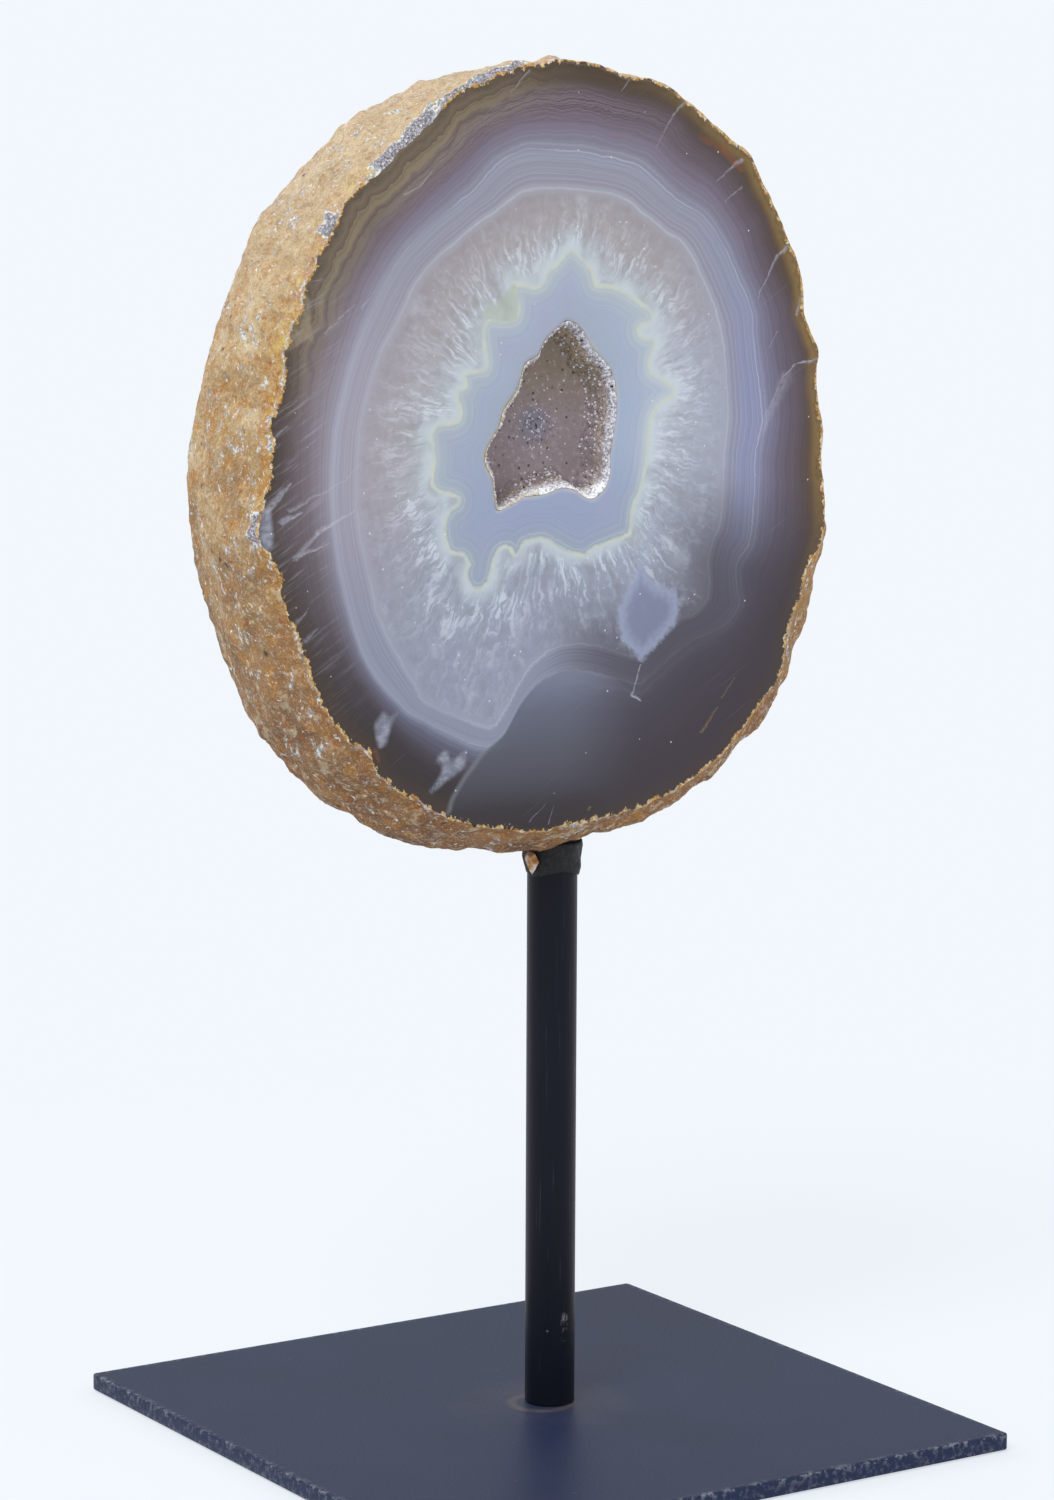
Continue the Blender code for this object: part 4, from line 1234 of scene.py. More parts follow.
@dataclass(frozen=True)
class SawnFinish:
    """The unpolished sawn back: the same bands, dull, with saw lines."""

    name: str = "sawn agate"

    def make(self) -> bpy.types.Material:
        """Build the material.

        Returns:
            The material.
        """
        s = Sketch(self.name)
        place = s.in_mm(0.0)
        band = s.stored("band")
        waver = s.times(s.minus(s.noise(place, 0.08, 3.0), 0.5), 0.6)
        band = s.math("ADD", band, waver)
        colour = s.ramp(s.math("DIVIDE", band, RIM_BAND), (
            (0.0, "#b6b3b4"), (0.22, "#b9bcc4"), (0.40, "#a8a5aa"), (0.42, "#b4b8c0"),
            (0.58, "#9fa2ac"), (0.62, "#93909a"), (0.80, "#86797a"), (0.93, "#7d6a58"),
            (1.0, "#8f7650"),
        ))
        along = s.node("ShaderNodeCombineXYZ", s.times(band, 24.0)).outputs[0]
        lines = s.noise(along, 1.0, 2.0)
        colour = s.tint(colour, "#c9c9ce", lines, 0.35, 0.65, 0.35)
        saw = s.noise(s.stretch(s.turn(place, -14.0), (0.02, 1.0, 2.4)), 1.0, 3.0, 0.6)
        colour = s.tint(colour, "#d9d6d2", saw, 0.4, 0.6, 0.18)
        s.set(Base_Color=colour, Roughness=s.ease(saw, 0.3, 0.7, 0.62, 0.48))
        s.set(Normal=s.bump(saw, 0.00015, 0.5))
        return s.material


@dataclass(frozen=True)
class DruseFinish:
    """Fine crystals: sugary white at the mouth, brown sand below and a mauve-brown floor."""

    name: str = "druse"
    cluster: Triple = (-8.3, -8.7, 191.5)

    def make(self) -> bpy.types.Material:
        """Build the material.

        Returns:
            The material.
        """
        s = Sketch(self.name)
        place = s.in_mm()
        axes = s.split(place)
        depth = s.stored("depth")
        floor = s.mix(s.ease(axes[2], 190.0, 204.0), "#857679", "#80705f")
        cluster = s.vector("DISTANCE", place, self.cluster).outputs["Value"]
        around = s.plus(s.noise(place, 0.35, 3.0), 4.0, cluster)
        floor = s.fade(floor, "#6d6a7b", around, 3.0, 7.0, 0.75)
        fleck = s.noise(place, 0.9, 4.0, 0.7)
        floor = s.tint(floor, "#b1abb2", fleck, 0.56, 0.66, 0.5)
        floor = s.fade(floor, "#54483f", fleck, 0.34, 0.44, 0.4)
        grain = s.noise(place, 1.9, 3.0, 0.72)
        sugar = s.ramp(grain, ((0.32, "#665e5a"), (0.42, "#928c90"), (0.53, "#bdbac3"),
                               (0.64, "#f6f6fb")))
        sand = s.ramp(grain, ((0.32, "#675c57"), (0.46, "#8c7e76"), (0.58, "#a8988c"),
                              (0.70, "#d8d4d4")))
        shift = s.plus(s.minus(grain, 0.5), 2.6, depth)
        colour = s.tint(sugar, sand, shift, 0.8, 2.2)
        colour = s.tint(colour, floor, shift, 2.2, 3.8)
        upper = s.times(s.ease(axes[2], 199.0, 205.0), s.ease(shift, 0.6, 2.0))
        ochre = s.mix(s.ease(grain, 0.4, 0.6), "#75604a", "#bba68a")
        colour = s.mix(s.times(upper, s.ease(shift, 3.6, 5.0, 0.45, 0.0)), colour, ochre)
        low = s.times(s.ease(axes[2], 181.8, 179.6), s.ease(shift, 1.6, 3.2, 0.9, 0.0))
        low = s.times(low, s.ease(axes[0], -13.5, -9.5))
        colour = s.mix(low, colour, s.mix(s.ease(grain, 0.36, 0.52), "#9c9aa2", "#ffffff"))
        left = s.times(s.ease(axes[0], -9.0, -12.0), s.drop(shift, -0.2, 0.9))
        colour = s.mix(s.times(left, 0.55), colour, "#dccfa6")
        tint = s.stored("tint")
        colour = s.tint(colour, "#d8d8e0", tint, 0.4, 0.9, 0.8)
        spots = s.cells(s.stretch(place, (1.0, 0.4, 1.0)), 0.95)
        keep = s.minus(s.pick(spots), s.ease(cluster, 1.2, 4.5, 0.0, 0.50))
        keep = s.ease(keep, 0.36, 0.40)
        spot = s.times(s.drop(spots.outputs["Distance"], 0.18, 0.32), keep)
        colour = s.mix(s.times(spot, 0.9), colour, Hue.SOOT)
        soot = s.times(s.ease(s.noise(place, 1.5, 3.0, 0.6), 0.55, 0.61),
                       s.ease(around, 2.4, 4.2, 0.9, 0.0))
        colour = s.mix(soot, colour, Hue.SOOT)
        s.set(Base_Color=colour, Roughness=s.ease(depth, 2.0, 5.0, 0.35, 0.5), IOR=1.54)
        s.set(Normal=s.bump(s.noise(place, 2.4, 2.0), 0.00012, 0.4))
        return s.material


@dataclass(frozen=True)
class PaintFinish:
    """Dark paint on steel, with dust, small scuffs and worn streaks."""

    name: str
    hue: str
    roughness: float
    specular: float
    scuff: float
    streaks: float = 0.0
    dust_radius: float = 0.0

    def make(self) -> bpy.types.Material:
        """Build the material.

        Returns:
            The material.
        """
        s = Sketch(self.name)
        place = s.in_mm()
        mottling = s.noise(place, 0.05, 4.0, 0.6)
        colour = s.mix(mottling, linear(self.hue, 0.86), linear(self.hue, 1.15))
        dust = s.specks(place, 0.20, (0.80, 0.84), (0.02, 0.06))
        colour = s.mix(s.times(dust, 0.45), colour, "#83838c")
        if self.dust_radius:
            around = s.vector("LENGTH", s.stretch(place, (1.0, 1.0, 0.0))).outputs["Value"]
            cloud = s.times(s.noise(place, 0.11, 4.0, 0.6), s.drop(around, 5.0, self.dust_radius))
            colour = s.tint(colour, "#5a5458", cloud, 0.2, 0.7, 0.22)
            ring = s.math("ABSOLUTE", s.minus(around, 5.6))
            ring = s.times(s.ease(ring, 0.2, 1.6, 0.4, 0.0), s.noise(place, 0.8, 3.0))
            colour = s.mix(ring, colour, "#8a7a6c")
        if self.streaks:
            worn = s.noise(s.stretch(place, (1.6, 1.6, 0.035)), 1.0, 3.0, 0.6)
            colour = s.mix(s.ease(worn, 0.62, 0.74, 0.0, self.streaks), colour, "#55565e")
        wear = s.stored("wear")
        broken = s.times(wear, s.ease(s.noise(place, 0.8, 4.0, 0.7), 0.48, 0.62))
        colour = s.mix(s.times(broken, self.scuff), colour, "#a3a3aa")
        fine = s.noise(place, 2.5, 3.0, 0.6)
        s.set(Base_Color=colour, Specular_IOR_Level=self.specular)
        s.set(Roughness=s.ease(fine, 0.3, 0.7, self.roughness - 0.05, self.roughness + 0.05))
        s.set(Normal=s.bump(fine, 0.00006, 0.3))
        return s.material


@dataclass(frozen=True)
class AdhesiveFinish:
    """Rough black adhesive with grit pressed into it."""

    name: str = "adhesive"

    def make(self) -> bpy.types.Material:
        """Build the material.

        Returns:
            The material.
        """
        s = Sketch(self.name)
        place = s.in_mm()
        grit = s.noise(place, 1.1, 5.0, 0.75)
        colour = s.mix(s.ease(grit, 0.60, 0.72), "#0f0f11", "#5f564b")
        s.set(Base_Color=colour, Roughness=s.ease(grit, 0.3, 0.7, 0.45, 0.8))
        s.set(Normal=s.bump(grit, 0.0005, 0.8))
        return s.material


@dataclass
class Stone:
    """The geode: polished face, rough rind, sawn back and the pocket behind the crystals."""

    face_y: float = -14.5
    thickness: float = 30.0
    centre: Pair = (-8.0, 190.0)
    hollow_centre: Pair = (-8.0, 192.0)
    steps: int = 720
    face_rings: int = 66
    rind_rings: int = 42
    back_rings: int = 12
    ease_depth: float = 9.0
    ease_reach_deg: float = 15.0
    chip_soft_deg: float = 1.5
    chip_run_out: float = 5.0
    swell_depths: Tuple[float, ...] = (0.0, 5.0, 12.0, 20.0, 30.0)
    swell: Tuple[Tuple[float, ...], ...] = (
        (0.0, 1.5, 3.0, 3.0, 1.0), (0.0, 1.0, 2.0, 1.5, -1.0), (0.0, 0.5, 1.0, 0.0, -3.0),
        (0.0, 0.2, -0.4, -1.4, -4.2), (0.0, 1.2, 2.6, 2.0, -2.0), (0.0, 1.4, 2.6, 2.6, -2.4),
        (0.0, 1.4, 2.2, 1.8, -1.4), (0.0, 1.8, 3.4, 3.2, -0.4), (0.0, 3.0, 5.6, 6.0, 3.0),
        (0.0, 3.0, 5.0, 5.5, 2.7), (0.0, 5.0, 6.8, 6.4, 3.0), (0.0, 6.2, 7.6, 7.2, 4.0),
    )
    wall: Tuple[Pair, ...] = (
        (0.3, 1.6), (0.7, 4.2), (1.5, 6.0), (3.4, 6.9), (7.0, 7.1),
    )
    pits: Tuple[Tuple[float, float, float, float], ...] = (
        (158.3, 4.5, 1.9, 1.8), (148.0, 7.5, 1.3, 1.2), (170.0, 15.0, 2.2, 1.1),
        (209.0, 8.0, 2.6, 0.9), (232.0, 16.0, 3.0, 1.0), (20.0, 14.0, 3.0, 1.1),
        (318.0, 19.0, 3.2, 1.2), (80.0, 18.0, 2.6, 1.0),
    )

    def bearings(self) -> np.ndarray:
        """Return the even bearings of a loop."""
        return np.arange(self.steps) * math.tau / self.steps

    def at(self, centre: Pair, radius: np.ndarray, depth: float) -> np.ndarray:
        """Place a loop at a depth behind the face."""
        return upright_loop(centre, radius, self.face_y + depth)

    def rim_radii(self) -> np.ndarray:
        """Return the radius of the jagged cut edge.

        Returns:
            One radius for each bearing.
        """
        radius = RIM.radii(self.centre, self.steps)
        loop = self.at(self.centre, radius, 0.0)
        rough = 0.75 * lumps(loop, 3.0, 3.1) + 0.5 * np.abs(lumps(loop, 1.5, 7.7)) - 0.1
        left = smoothstep(-np.cos(self.bearings()), -0.6, 0.5)
        return radius + rough * (0.45 + 0.55 * left) - 0.1

    def soft_radii(self) -> np.ndarray:
        """Return the radius of the outline with its small corners rounded.

        Returns:
            One radius for each bearing.
        """
        radius = RIM.radii(self.centre, self.steps)
        reach = int(self.steps * self.ease_reach_deg / 360.0)
        kernel = np.ones(2 * reach + 1) / (2 * reach + 1)
        padded = np.concatenate((radius[-reach:], radius, radius[:reach]))
        return np.convolve(padded, kernel, mode="valid")

    def rind_swell(self, depth: float) -> np.ndarray:
        """Return how far the rind stands out all round at a depth.

        Args:
            depth: The depth behind the face.

        Returns:
            One height for each bearing.
        """
        rows = np.asarray(self.swell)
        depths = np.asarray(self.swell_depths)
        level = np.array([hermite(depths, row, np.array([depth]))[0] for row in rows])
        count = len(level)
        knots = np.arange(-1, count + 2)
        turn = self.bearings() / math.tau * count
        return hermite(knots.astype(float), level[knots % count], turn)

    def chip_mask(self, depth: float) -> np.ndarray:
        """Return 1 where the edge is chipped at a depth, and 0 elsewhere.

        Args:
            depth: The depth behind the face.

        Returns:
            One value for each bearing.
        """
        mask = np.zeros(self.steps)
        degrees = np.degrees(self.bearings())
        for chip in EDGE_CHIPS:
            share = (degrees - chip.start) / (chip.end - chip.start)
            limit = chip.depth * (1.0 + 0.45 * np.sin(share * 11.0 + chip.start))
            taper = smoothstep(share, 0.0, 0.15) * (1 - smoothstep(share, 0.75, 1.0))
            mask = np.maximum(mask, taper * (1 - smoothstep(depth - limit, -0.4, 0.9)))
        return mask

    def chip_reach(self, depth: float) -> np.ndarray:
        """Return how far chipped places slope outwards at a depth.

        Args:
            depth: The depth behind the face.

        Returns:
            One reach for each bearing.
        """
        soft = self.chip_soft_deg
        reach = np.zeros(self.steps)
        degrees = np.degrees(self.bearings())
        for chip in EDGE_CHIPS:
            inside = smoothstep(degrees, chip.start - soft, chip.start + soft)
            inside *= 1 - smoothstep(degrees, chip.end - soft, chip.end + soft)
            rise = min(depth / chip.depth, 1.0)
            fall = 1.0 - min(max(depth - chip.depth, 0.0) / self.chip_run_out, 1.0)
            reach += inside * chip.reach * rise * fall
        return reach

    def relief(self, loop: np.ndarray, depth: float) -> np.ndarray:
        """Return the height of lumps, grit and pits round a loop of the rind.

        Args:
            loop: The loop's points.
            depth: The depth behind the face.

        Returns:
            One height for each point.
        """
        fade = min(depth / 3.0, 1.0) * min((self.thickness - depth) / 2.0, 1.0)
        broad = 1.3 * lumps(loop, 12.0) + 1.4 * np.abs(lumps(loop, 8.0, 2.0)) - 0.45
        broad += 0.8 * lumps(loop, 4.2)
        grit = 0.30 * lumps(loop, 2.0, 11.0) + 0.24 * np.abs(lumps(loop, 1.2, 5.0))
        pit = np.zeros(self.steps)
        degrees = np.degrees(self.bearings())
        for bearing, pit_depth, radius, hollow in self.pits:
            across = (degrees - bearing + 180) % 360 - 180
            away = np.hypot(across * 1.1, depth - pit_depth) / radius
            pit -= hollow * np.clip(1.0 - away * away, 0.0, 1.0)
        return (broad + pit) * fade + grit * min(depth / 0.7, 1.0)

    def rind_loop(self, rim: np.ndarray, soft: np.ndarray, depth: float) -> np.ndarray:
        """Return one loop of the rind.

        Args:
            rim: Radii of the jagged edge.
            soft: Radii of the rounded outline.
            depth: The depth behind the face.

        Returns:
            The loop's points.
        """
        ease = min(depth / self.ease_depth, 1.0)
        bare = rim + ease * (soft - rim) + self.rind_swell(depth) + self.chip_reach(depth)
        loop = self.at(self.centre, bare, depth)
        return self.at(self.centre, bare + self.relief(loop, depth), depth)

    def band_values(self, inside: Sequence[np.ndarray]) -> np.ndarray:
        """Return the band value, from 0 at the hollow to RIM_BAND at the rim.

        Args:
            inside: Depths inside each contour, from the hollow outwards.

        Returns:
            One band value for each point.
        """
        band = np.zeros(len(inside[0]))
        for number in range(len(inside) - 1):
            beyond = np.maximum(-inside[number], 0.0)
            before = np.maximum(inside[number + 1], 0.0)
            share = beyond / np.maximum(beyond + before, 1e-6)
            band = np.where(inside[number] < 0, number + share, band)
        return band

    def build(self) -> bpy.types.Object:
        """Model and dress the stone.

        Returns:
            The stone.
        """
        m = MeshSketch()
        rim = self.rim_radii()
        mouth = HOLLOW.radii(self.hollow_centre, self.steps)
        mouth_loop = self.at(self.hollow_centre, mouth, 0.0)
        rim_loop = self.at(self.centre, rim, 0.0)
        shares = np.linspace(0.0, 1.0, self.face_rings)
        face = [m.add_points(mouth_loop + t * (rim_loop - mouth_loop)) for t in shares]
        m.skin(face, Surface.FACE.value)
        face_count = m.count
        pocket = [face[0]]
        for inset, depth in self.wall:
            pocket.append(m.add_points(self.at(self.hollow_centre, mouth - inset, depth)))
        m.skin(pocket, Surface.FACE.value, flip=True)
        floor_y = self.face_y + self.wall[-1][1]
        m.close(pocket[-1], (self.hollow_centre[0], floor_y, self.hollow_centre[1]),
                Surface.FACE.value)
        soft = self.soft_radii()
        spread = np.linspace(0.0, 1.0, self.rind_rings + 1)[1:]
        depths = self.thickness * (0.75 * spread + 0.25 * spread**2)
        rind_start = m.count
        rind = [face[-1]]
        for depth in depths:
            rind.append(m.add_points(self.rind_loop(rim, soft, depth)))
        m.skin(rind, Surface.RIND.value)
        back_start = m.count
        back_loop = m.points[-1]
        middle = np.array((self.centre[0], self.face_y + self.thickness, self.centre[1]))
        back = [rind[-1]]
        for t in np.linspace(1.0, 0.0, self.back_rings + 1)[1:-1]:
            back.append(m.add_points(middle + t * (back_loop - middle)))
        m.skin(back, Surface.BACK.value)
        m.close(back[-1], middle, Surface.BACK.value)
        values = self.stored_values(m, depths, face_count, rind_start, back_start)
        finishes = (AgateFinish().make(), RindFinish().make(), SawnFinish().make())
        stone = m.make("stone", finishes, values)
        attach(stone, Body.ROOT.value)
        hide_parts("geode")
        return stone

    def stored_values(self, m: MeshSketch, depths: np.ndarray, face_count: int,
                      rind_start: int, back_start: int) -> Dict[str, np.ndarray]:
        """Work out the values that the finishes read on each vertex.

        Args:
            m: The stone's mesh.
            depths: The depths of the rind's loops.
            face_count: How many vertices the face has.
            rind_start: The rind's first vertex.
            back_start: The back's first vertex.

        Returns:
            The values, by name.
        """
        points = m.all_points()
        flat = points[:, (0, 2)]
        face = flat[:face_count]
        band = np.full(m.count, RIM_BAND)
        inside = [line.depth_inside(face) for line in
                  (HOLLOW, SCALLOPS, QUARTZ, FINE_LINES, OUTER_ZONE, RIM)]
        band[:face_count] = self.band_values(inside)
        lines = np.full((m.count, 3), FAR_OUTSIDE)
        lines[:face_count] = np.stack((inside[1], inside[2], inside[3]), axis=1)
        away = flat[back_start:] - np.asarray(self.centre)
        back_radius = np.hypot(away[:, 0], away[:, 1])
        soft = np.interp(np.arctan2(away[:, 1], away[:, 0]) % math.tau,
                         self.bearings(), self.soft_radii())
        band[back_start:] = np.clip(back_radius / soft * BACK_SPREAD, 0.0, RIM_BAND)
        d = flat - np.asarray(self.hollow_centre)
        length = np.maximum(np.hypot(d[:, 0], d[:, 1]), 1e-6)
        flow = np.stack((d[:, 0] / length, d[:, 1] / length, band), axis=1)
        rimward = np.full(m.count, WELL_INSIDE)
        edge = self.at(self.centre, self.rim_radii(), 0.0)[:, (0, 2)]
        rimward[:face_count] = Contour(tuple(map(tuple, edge))).depth_inside(face)
        behind = points[:, 1] - self.face_y
        chips = np.full(m.count, OUTSIDE)
        chips[:face_count] = np.max([c.depth_inside(face) for c in GLASSY_CHIPS], axis=0)
        bevel = np.zeros(m.count)
        bevel[face_count - self.steps:face_count] = self.chip_mask(0.0)
        levels = np.concatenate([self.chip_mask(depth) for depth in depths])
        bevel[rind_start:back_start] = levels
        values = {"band": band, "flow": flow, "rimward": rimward, "behind": behind,
                  "chips": chips, "bevel": bevel, "lines": lines}
        for key, contour in (("mound", MOUND), ("blue_patch", BLUE_PATCH),
                             ("cream_cell", CREAM_CELL), ("shard", TAN_SHARD)):
            values[key] = np.full(m.count, OUTSIDE)
            values[key][:face_count] = contour.depth_inside(face)
        wrap = flow.copy()
        wrap[:, :2] *= WRAP_RADIUS
        wrap[:, 2] = behind
        values["wrap"] = wrap
        return values


@dataclass
class CrystalLining:
    """The crust of small crystals that lines the hollow."""

    stone: Stone
    steps: int = 300
    grains: int = 2400
    floor_grains: int = 130
    seed: int = 5
    wall_rows: int = 30
    floor_rows: int = 26
    shape: Tuple[Pair, ...] = (
        (0.12, 0.04), (0.6, 0.30), (1.0, 0.9), (1.4, 1.9), (2.1, 3.4), (3.0, 4.8),
        (4.6, 5.5), (7.6, 5.8),
    )
    underside: Tuple[Pair, ...] = ((0.3, 1.5), (1.0, 3.9), (1.8, 5.7), (3.7, 6.6), (7.3, 6.8))
    aim_ahead: float = 6.0

    def profile(self, count: int) -> List[Pair]:
        """Return the lining's inset and depth at even steps along its wall.

        Args:
            count: How many steps there are.

        Returns:
            Insets and depths, from the mouth down.
        """
        points = np.asarray(self.shape)
        run = np.concatenate(([0.0], np.cumsum(np.hypot(*np.diff(points, axis=0).T))))
        where = np.linspace(0.0, run[-1], count)
        return list(zip(np.interp(where, run, points[:, 0]), np.interp(where, run, points[:, 1])))

    def loop(self, mouth: np.ndarray, inset: float, depth: float) -> np.ndarray:
        """Return the lining's loop at an inset from the mouth and a depth."""
        return self.stone.at(self.stone.hollow_centre, mouth - inset, depth)

    def surface(self, m: MeshSketch) -> Tuple[List[np.ndarray], List[float]]:
        """Model the bumpy surface between the crystals and return its loops.

        Args:
            m: The lining's mesh.

        Returns:
            The loops, and for each how much it belongs to the wall.
        """
        mouth = HOLLOW.radii(self.stone.hollow_centre, self.steps)
        middle = np.array((self.stone.hollow_centre[0], self.stone.face_y + self.shape[-1][1],
                           self.stone.hollow_centre[1]))
        loops, walls = [], []
        for inset, depth in self.profile(self.wall_rows):
            loop = self.loop(mouth, inset, depth)
            bumpy = 0.34 * lumps(loop, 1.1, 2.0) + 0.18 * lumps(loop, 0.5, 9.0)
            inward = middle - loop
            inward /= np.linalg.norm(inward, axis=1)[:, None]
            settled = loop + inward * (bumpy * min(depth / 0.4, 1.0))[:, None]
            loops.append(settled)
            walls.append(1.0 - float(smoothstep(np.array(depth), 4.3, 5.4)))
        last = loops[-1]
        for t in np.linspace(0.0, 1.0, self.floor_rows)[1:-1]:
            loop = last + t * (middle - last)
            loop[:, 1] = last[:, 1] + 0.07 * lumps(loop, 1.4, 4.0)
            loops.append(loop)
            walls.append(0.0)
        numbers = [m.add_points(loop) for loop in loops]
        m.skin(numbers, flip=True)
        m.close(numbers[-1], middle)
        base = [m.add_points(self.loop(mouth, *row)) for row in self.underside]
        m.skin([numbers[0]] + base)
        m.close(base[-1], middle + np.array((0.0, 1.0, 0.0)))
        return loops, walls

    def crystal(self, m: MeshSketch, foot: Vector, axis: Vector, size: float, tall: float,
                turn: float) -> int:
        """Add one six-sided crystal point and return how many vertices it has.

        Args:
            m: The lining's mesh.
            foot: The middle of the crystal's foot.
            axis: Where the crystal points.
            size: Its radius.
            tall: Its height.
            turn: Its turn about the axis.

        Returns:
            How many vertices were added.
        """
        frame_axis = axis.to_track_quat("Z", "Y").to_matrix() @ Matrix.Rotation(turn, 3, "Z")
        turns = [k * math.tau / 6 for k in range(6)]
        ring = [Vector((math.cos(angle), math.sin(angle), 0)) for angle in turns]
        low = [foot + frame_axis @ (p * size) for p in ring]
        high = [foot + frame_axis @ (p * size * 0.92 + Vector((0, 0, tall * 0.4))) for p in ring]
        tip = foot + frame_axis @ Vector((0, 0, tall))
        numbers = m.add_points(np.array([tuple(p) for p in low + high + [tip]]))
        a, b, top = numbers[:6], numbers[6:12], numbers[12]
        m.bridge(a, b)
        m.add_faces(np.stack((b, np.roll(b, -1), np.full(6, top)), axis=1))
        m.add_faces(np.array([a[::-1]]))
        return len(numbers)

    def build(self) -> bpy.types.Object:
        """Model and dress the crystal lining.

        Returns:
            The lining.
        """
        rng = random.Random(self.seed)
        m = MeshSketch()
        cluster = Vector(DruseFinish().cluster)
        loops, walls = self.surface(m)
        tint: List[float] = [0.0] * m.count
        wall_rows = [k for k, value in enumerate(walls) if value > 0.05 and k > 0]
        floor_rows = [k for k, value in enumerate(walls) if value <= 0.05 and k < len(loops) - 3]
        middle = Vector((self.stone.hollow_centre[0], self.stone.face_y - self.aim_ahead,
                         self.stone.hollow_centre[1]))
        for number in range(self.grains + self.floor_grains):
            on_floor = number >= self.grains
            rows = floor_rows if on_floor else wall_rows
            feet = [Vector(loops[rng.choice(rows)][rng.randrange(self.steps)]) for _ in range(2)]
            foot = min(feet, key=lambda p: (p - cluster).length) if on_floor else feet[0]
            axis = (middle - foot).normalized()
            axis = (axis + Vector([rng.uniform(-0.5, 0.5) for _ in range(3)])).normalized()
            size = rng.uniform(0.12, 0.26) if on_floor else rng.uniform(0.14, 0.34)
            tall = size * rng.uniform(1.0, 1.9)
            count = self.crystal(m, foot - axis * size * 0.5, axis, size, tall,
                                 rng.uniform(0, math.tau))
            bright = rng.random() < (0.7 if on_floor else 0.25)
            tint += [1.0 if bright else rng.uniform(0.0, 0.4)] * count
        depth = m.all_points()[:, 1] - self.stone.face_y
        values = {"depth": depth, "tint": np.asarray(tint)}
        lining = m.make("crystal_lining", (DruseFinish().make(),), values)
        lining.data.set_sharp_from_angle(angle=math.radians(28))
        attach(lining, Body.ROOT.value)
        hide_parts("crystal_crust")
        return lining


@dataclass
class Plate:
    """The square base plate."""

    corner_round: float = 0.9
    edge_round: float = 0.35
    corner_steps: int = 6
    side_steps: int = 40

    def outline(self, half: Pair, middle: Pair, inset: float, height: float) -> np.ndarray:
        """Return a level loop with rounded corners, set in from the plate's side.

        Args:
            half: Half the plate's sides.
            middle: The plate's middle.
            inset: How far in from the sides the loop runs.
            height: The loop's height.

        Returns:
            The loop's points.
        """
        points = []
        radius = max(self.corner_round - inset, 0.05)
        for turn in range(4):
            a, b = (half[0], half[1]) if turn % 2 == 0 else (half[1], half[0])
            arc = np.linspace(-math.pi / 4, math.pi / 4, self.corner_steps)
            corner = np.stack((a - inset - radius + radius * np.cos(arc + math.pi / 4),
                               b - inset - radius + radius * np.sin(arc + math.pi / 4)), axis=1)
            share = np.linspace(0.0, 1.0, self.side_steps)[1:-1, None]
            across = np.array((-(a - inset - radius), b - inset))
            side = corner[-1] + (across - corner[-1]) * share
            angle = turn * math.pi / 2
            spin = np.array(((math.cos(angle), math.sin(angle)),
                             (-math.sin(angle), math.cos(angle))))
            points.append(np.concatenate((corner, side)) @ spin)
        flat = np.concatenate(points) + np.asarray(middle)
        return np.column_stack((flat, np.full(len(flat), height)))

    def build(self) -> bpy.types.Object:
        """Model and dress the plate.

        Returns:
            The plate.
        """
        low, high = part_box("base_plate")
        half = ((high.x - low.x) / 2 / MM, (high.y - low.y) / 2 / MM)
        middle = ((high.x + low.x) / 2 / MM, (high.y + low.y) / 2 / MM)
        bottom, top = low.z / MM, high.z / MM
        r = self.edge_round
        rows = [(r, bottom, 0.0), (r * 0.3, bottom + r * 0.3, 0.3), (0.0, bottom + r, 0.5),
                (0.0, (bottom + top) / 2, 0.15), (0.0, top - r, 0.6), (r * 0.3, top - r * 0.3, 1.0),
                (r, top, 0.8), (r * 2.5, top, 0.35), (r * 5.0, top, 0.0)]
        rows += [(inset, top, 0.0) for inset in np.linspace(4.0, half[0] - 2.0, 20)]
        m = MeshSketch()
        loops, wear = [], []
        for inset, height, level in rows:
            loops.append(m.add_points(self.outline(half, middle, inset, height)))
            wear.append(np.full(len(loops[-1]), level))
        m.skin(loops)
        m.close(loops[-1], (*middle, top))
        m.close(loops[0], (*middle, bottom))
        values = {"wear": np.concatenate(wear + [np.zeros(2)])}
        finish = PaintFinish("plate paint", "#242d48", 0.42, 0.12, 0.5, dust_radius=34.0)
        plate = m.make("plate", (finish.make(),), values)
        plate.data.set_sharp_from_angle(angle=math.radians(40))
        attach(plate, Body.ROOT.value)
        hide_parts("base_plate")
        return plate


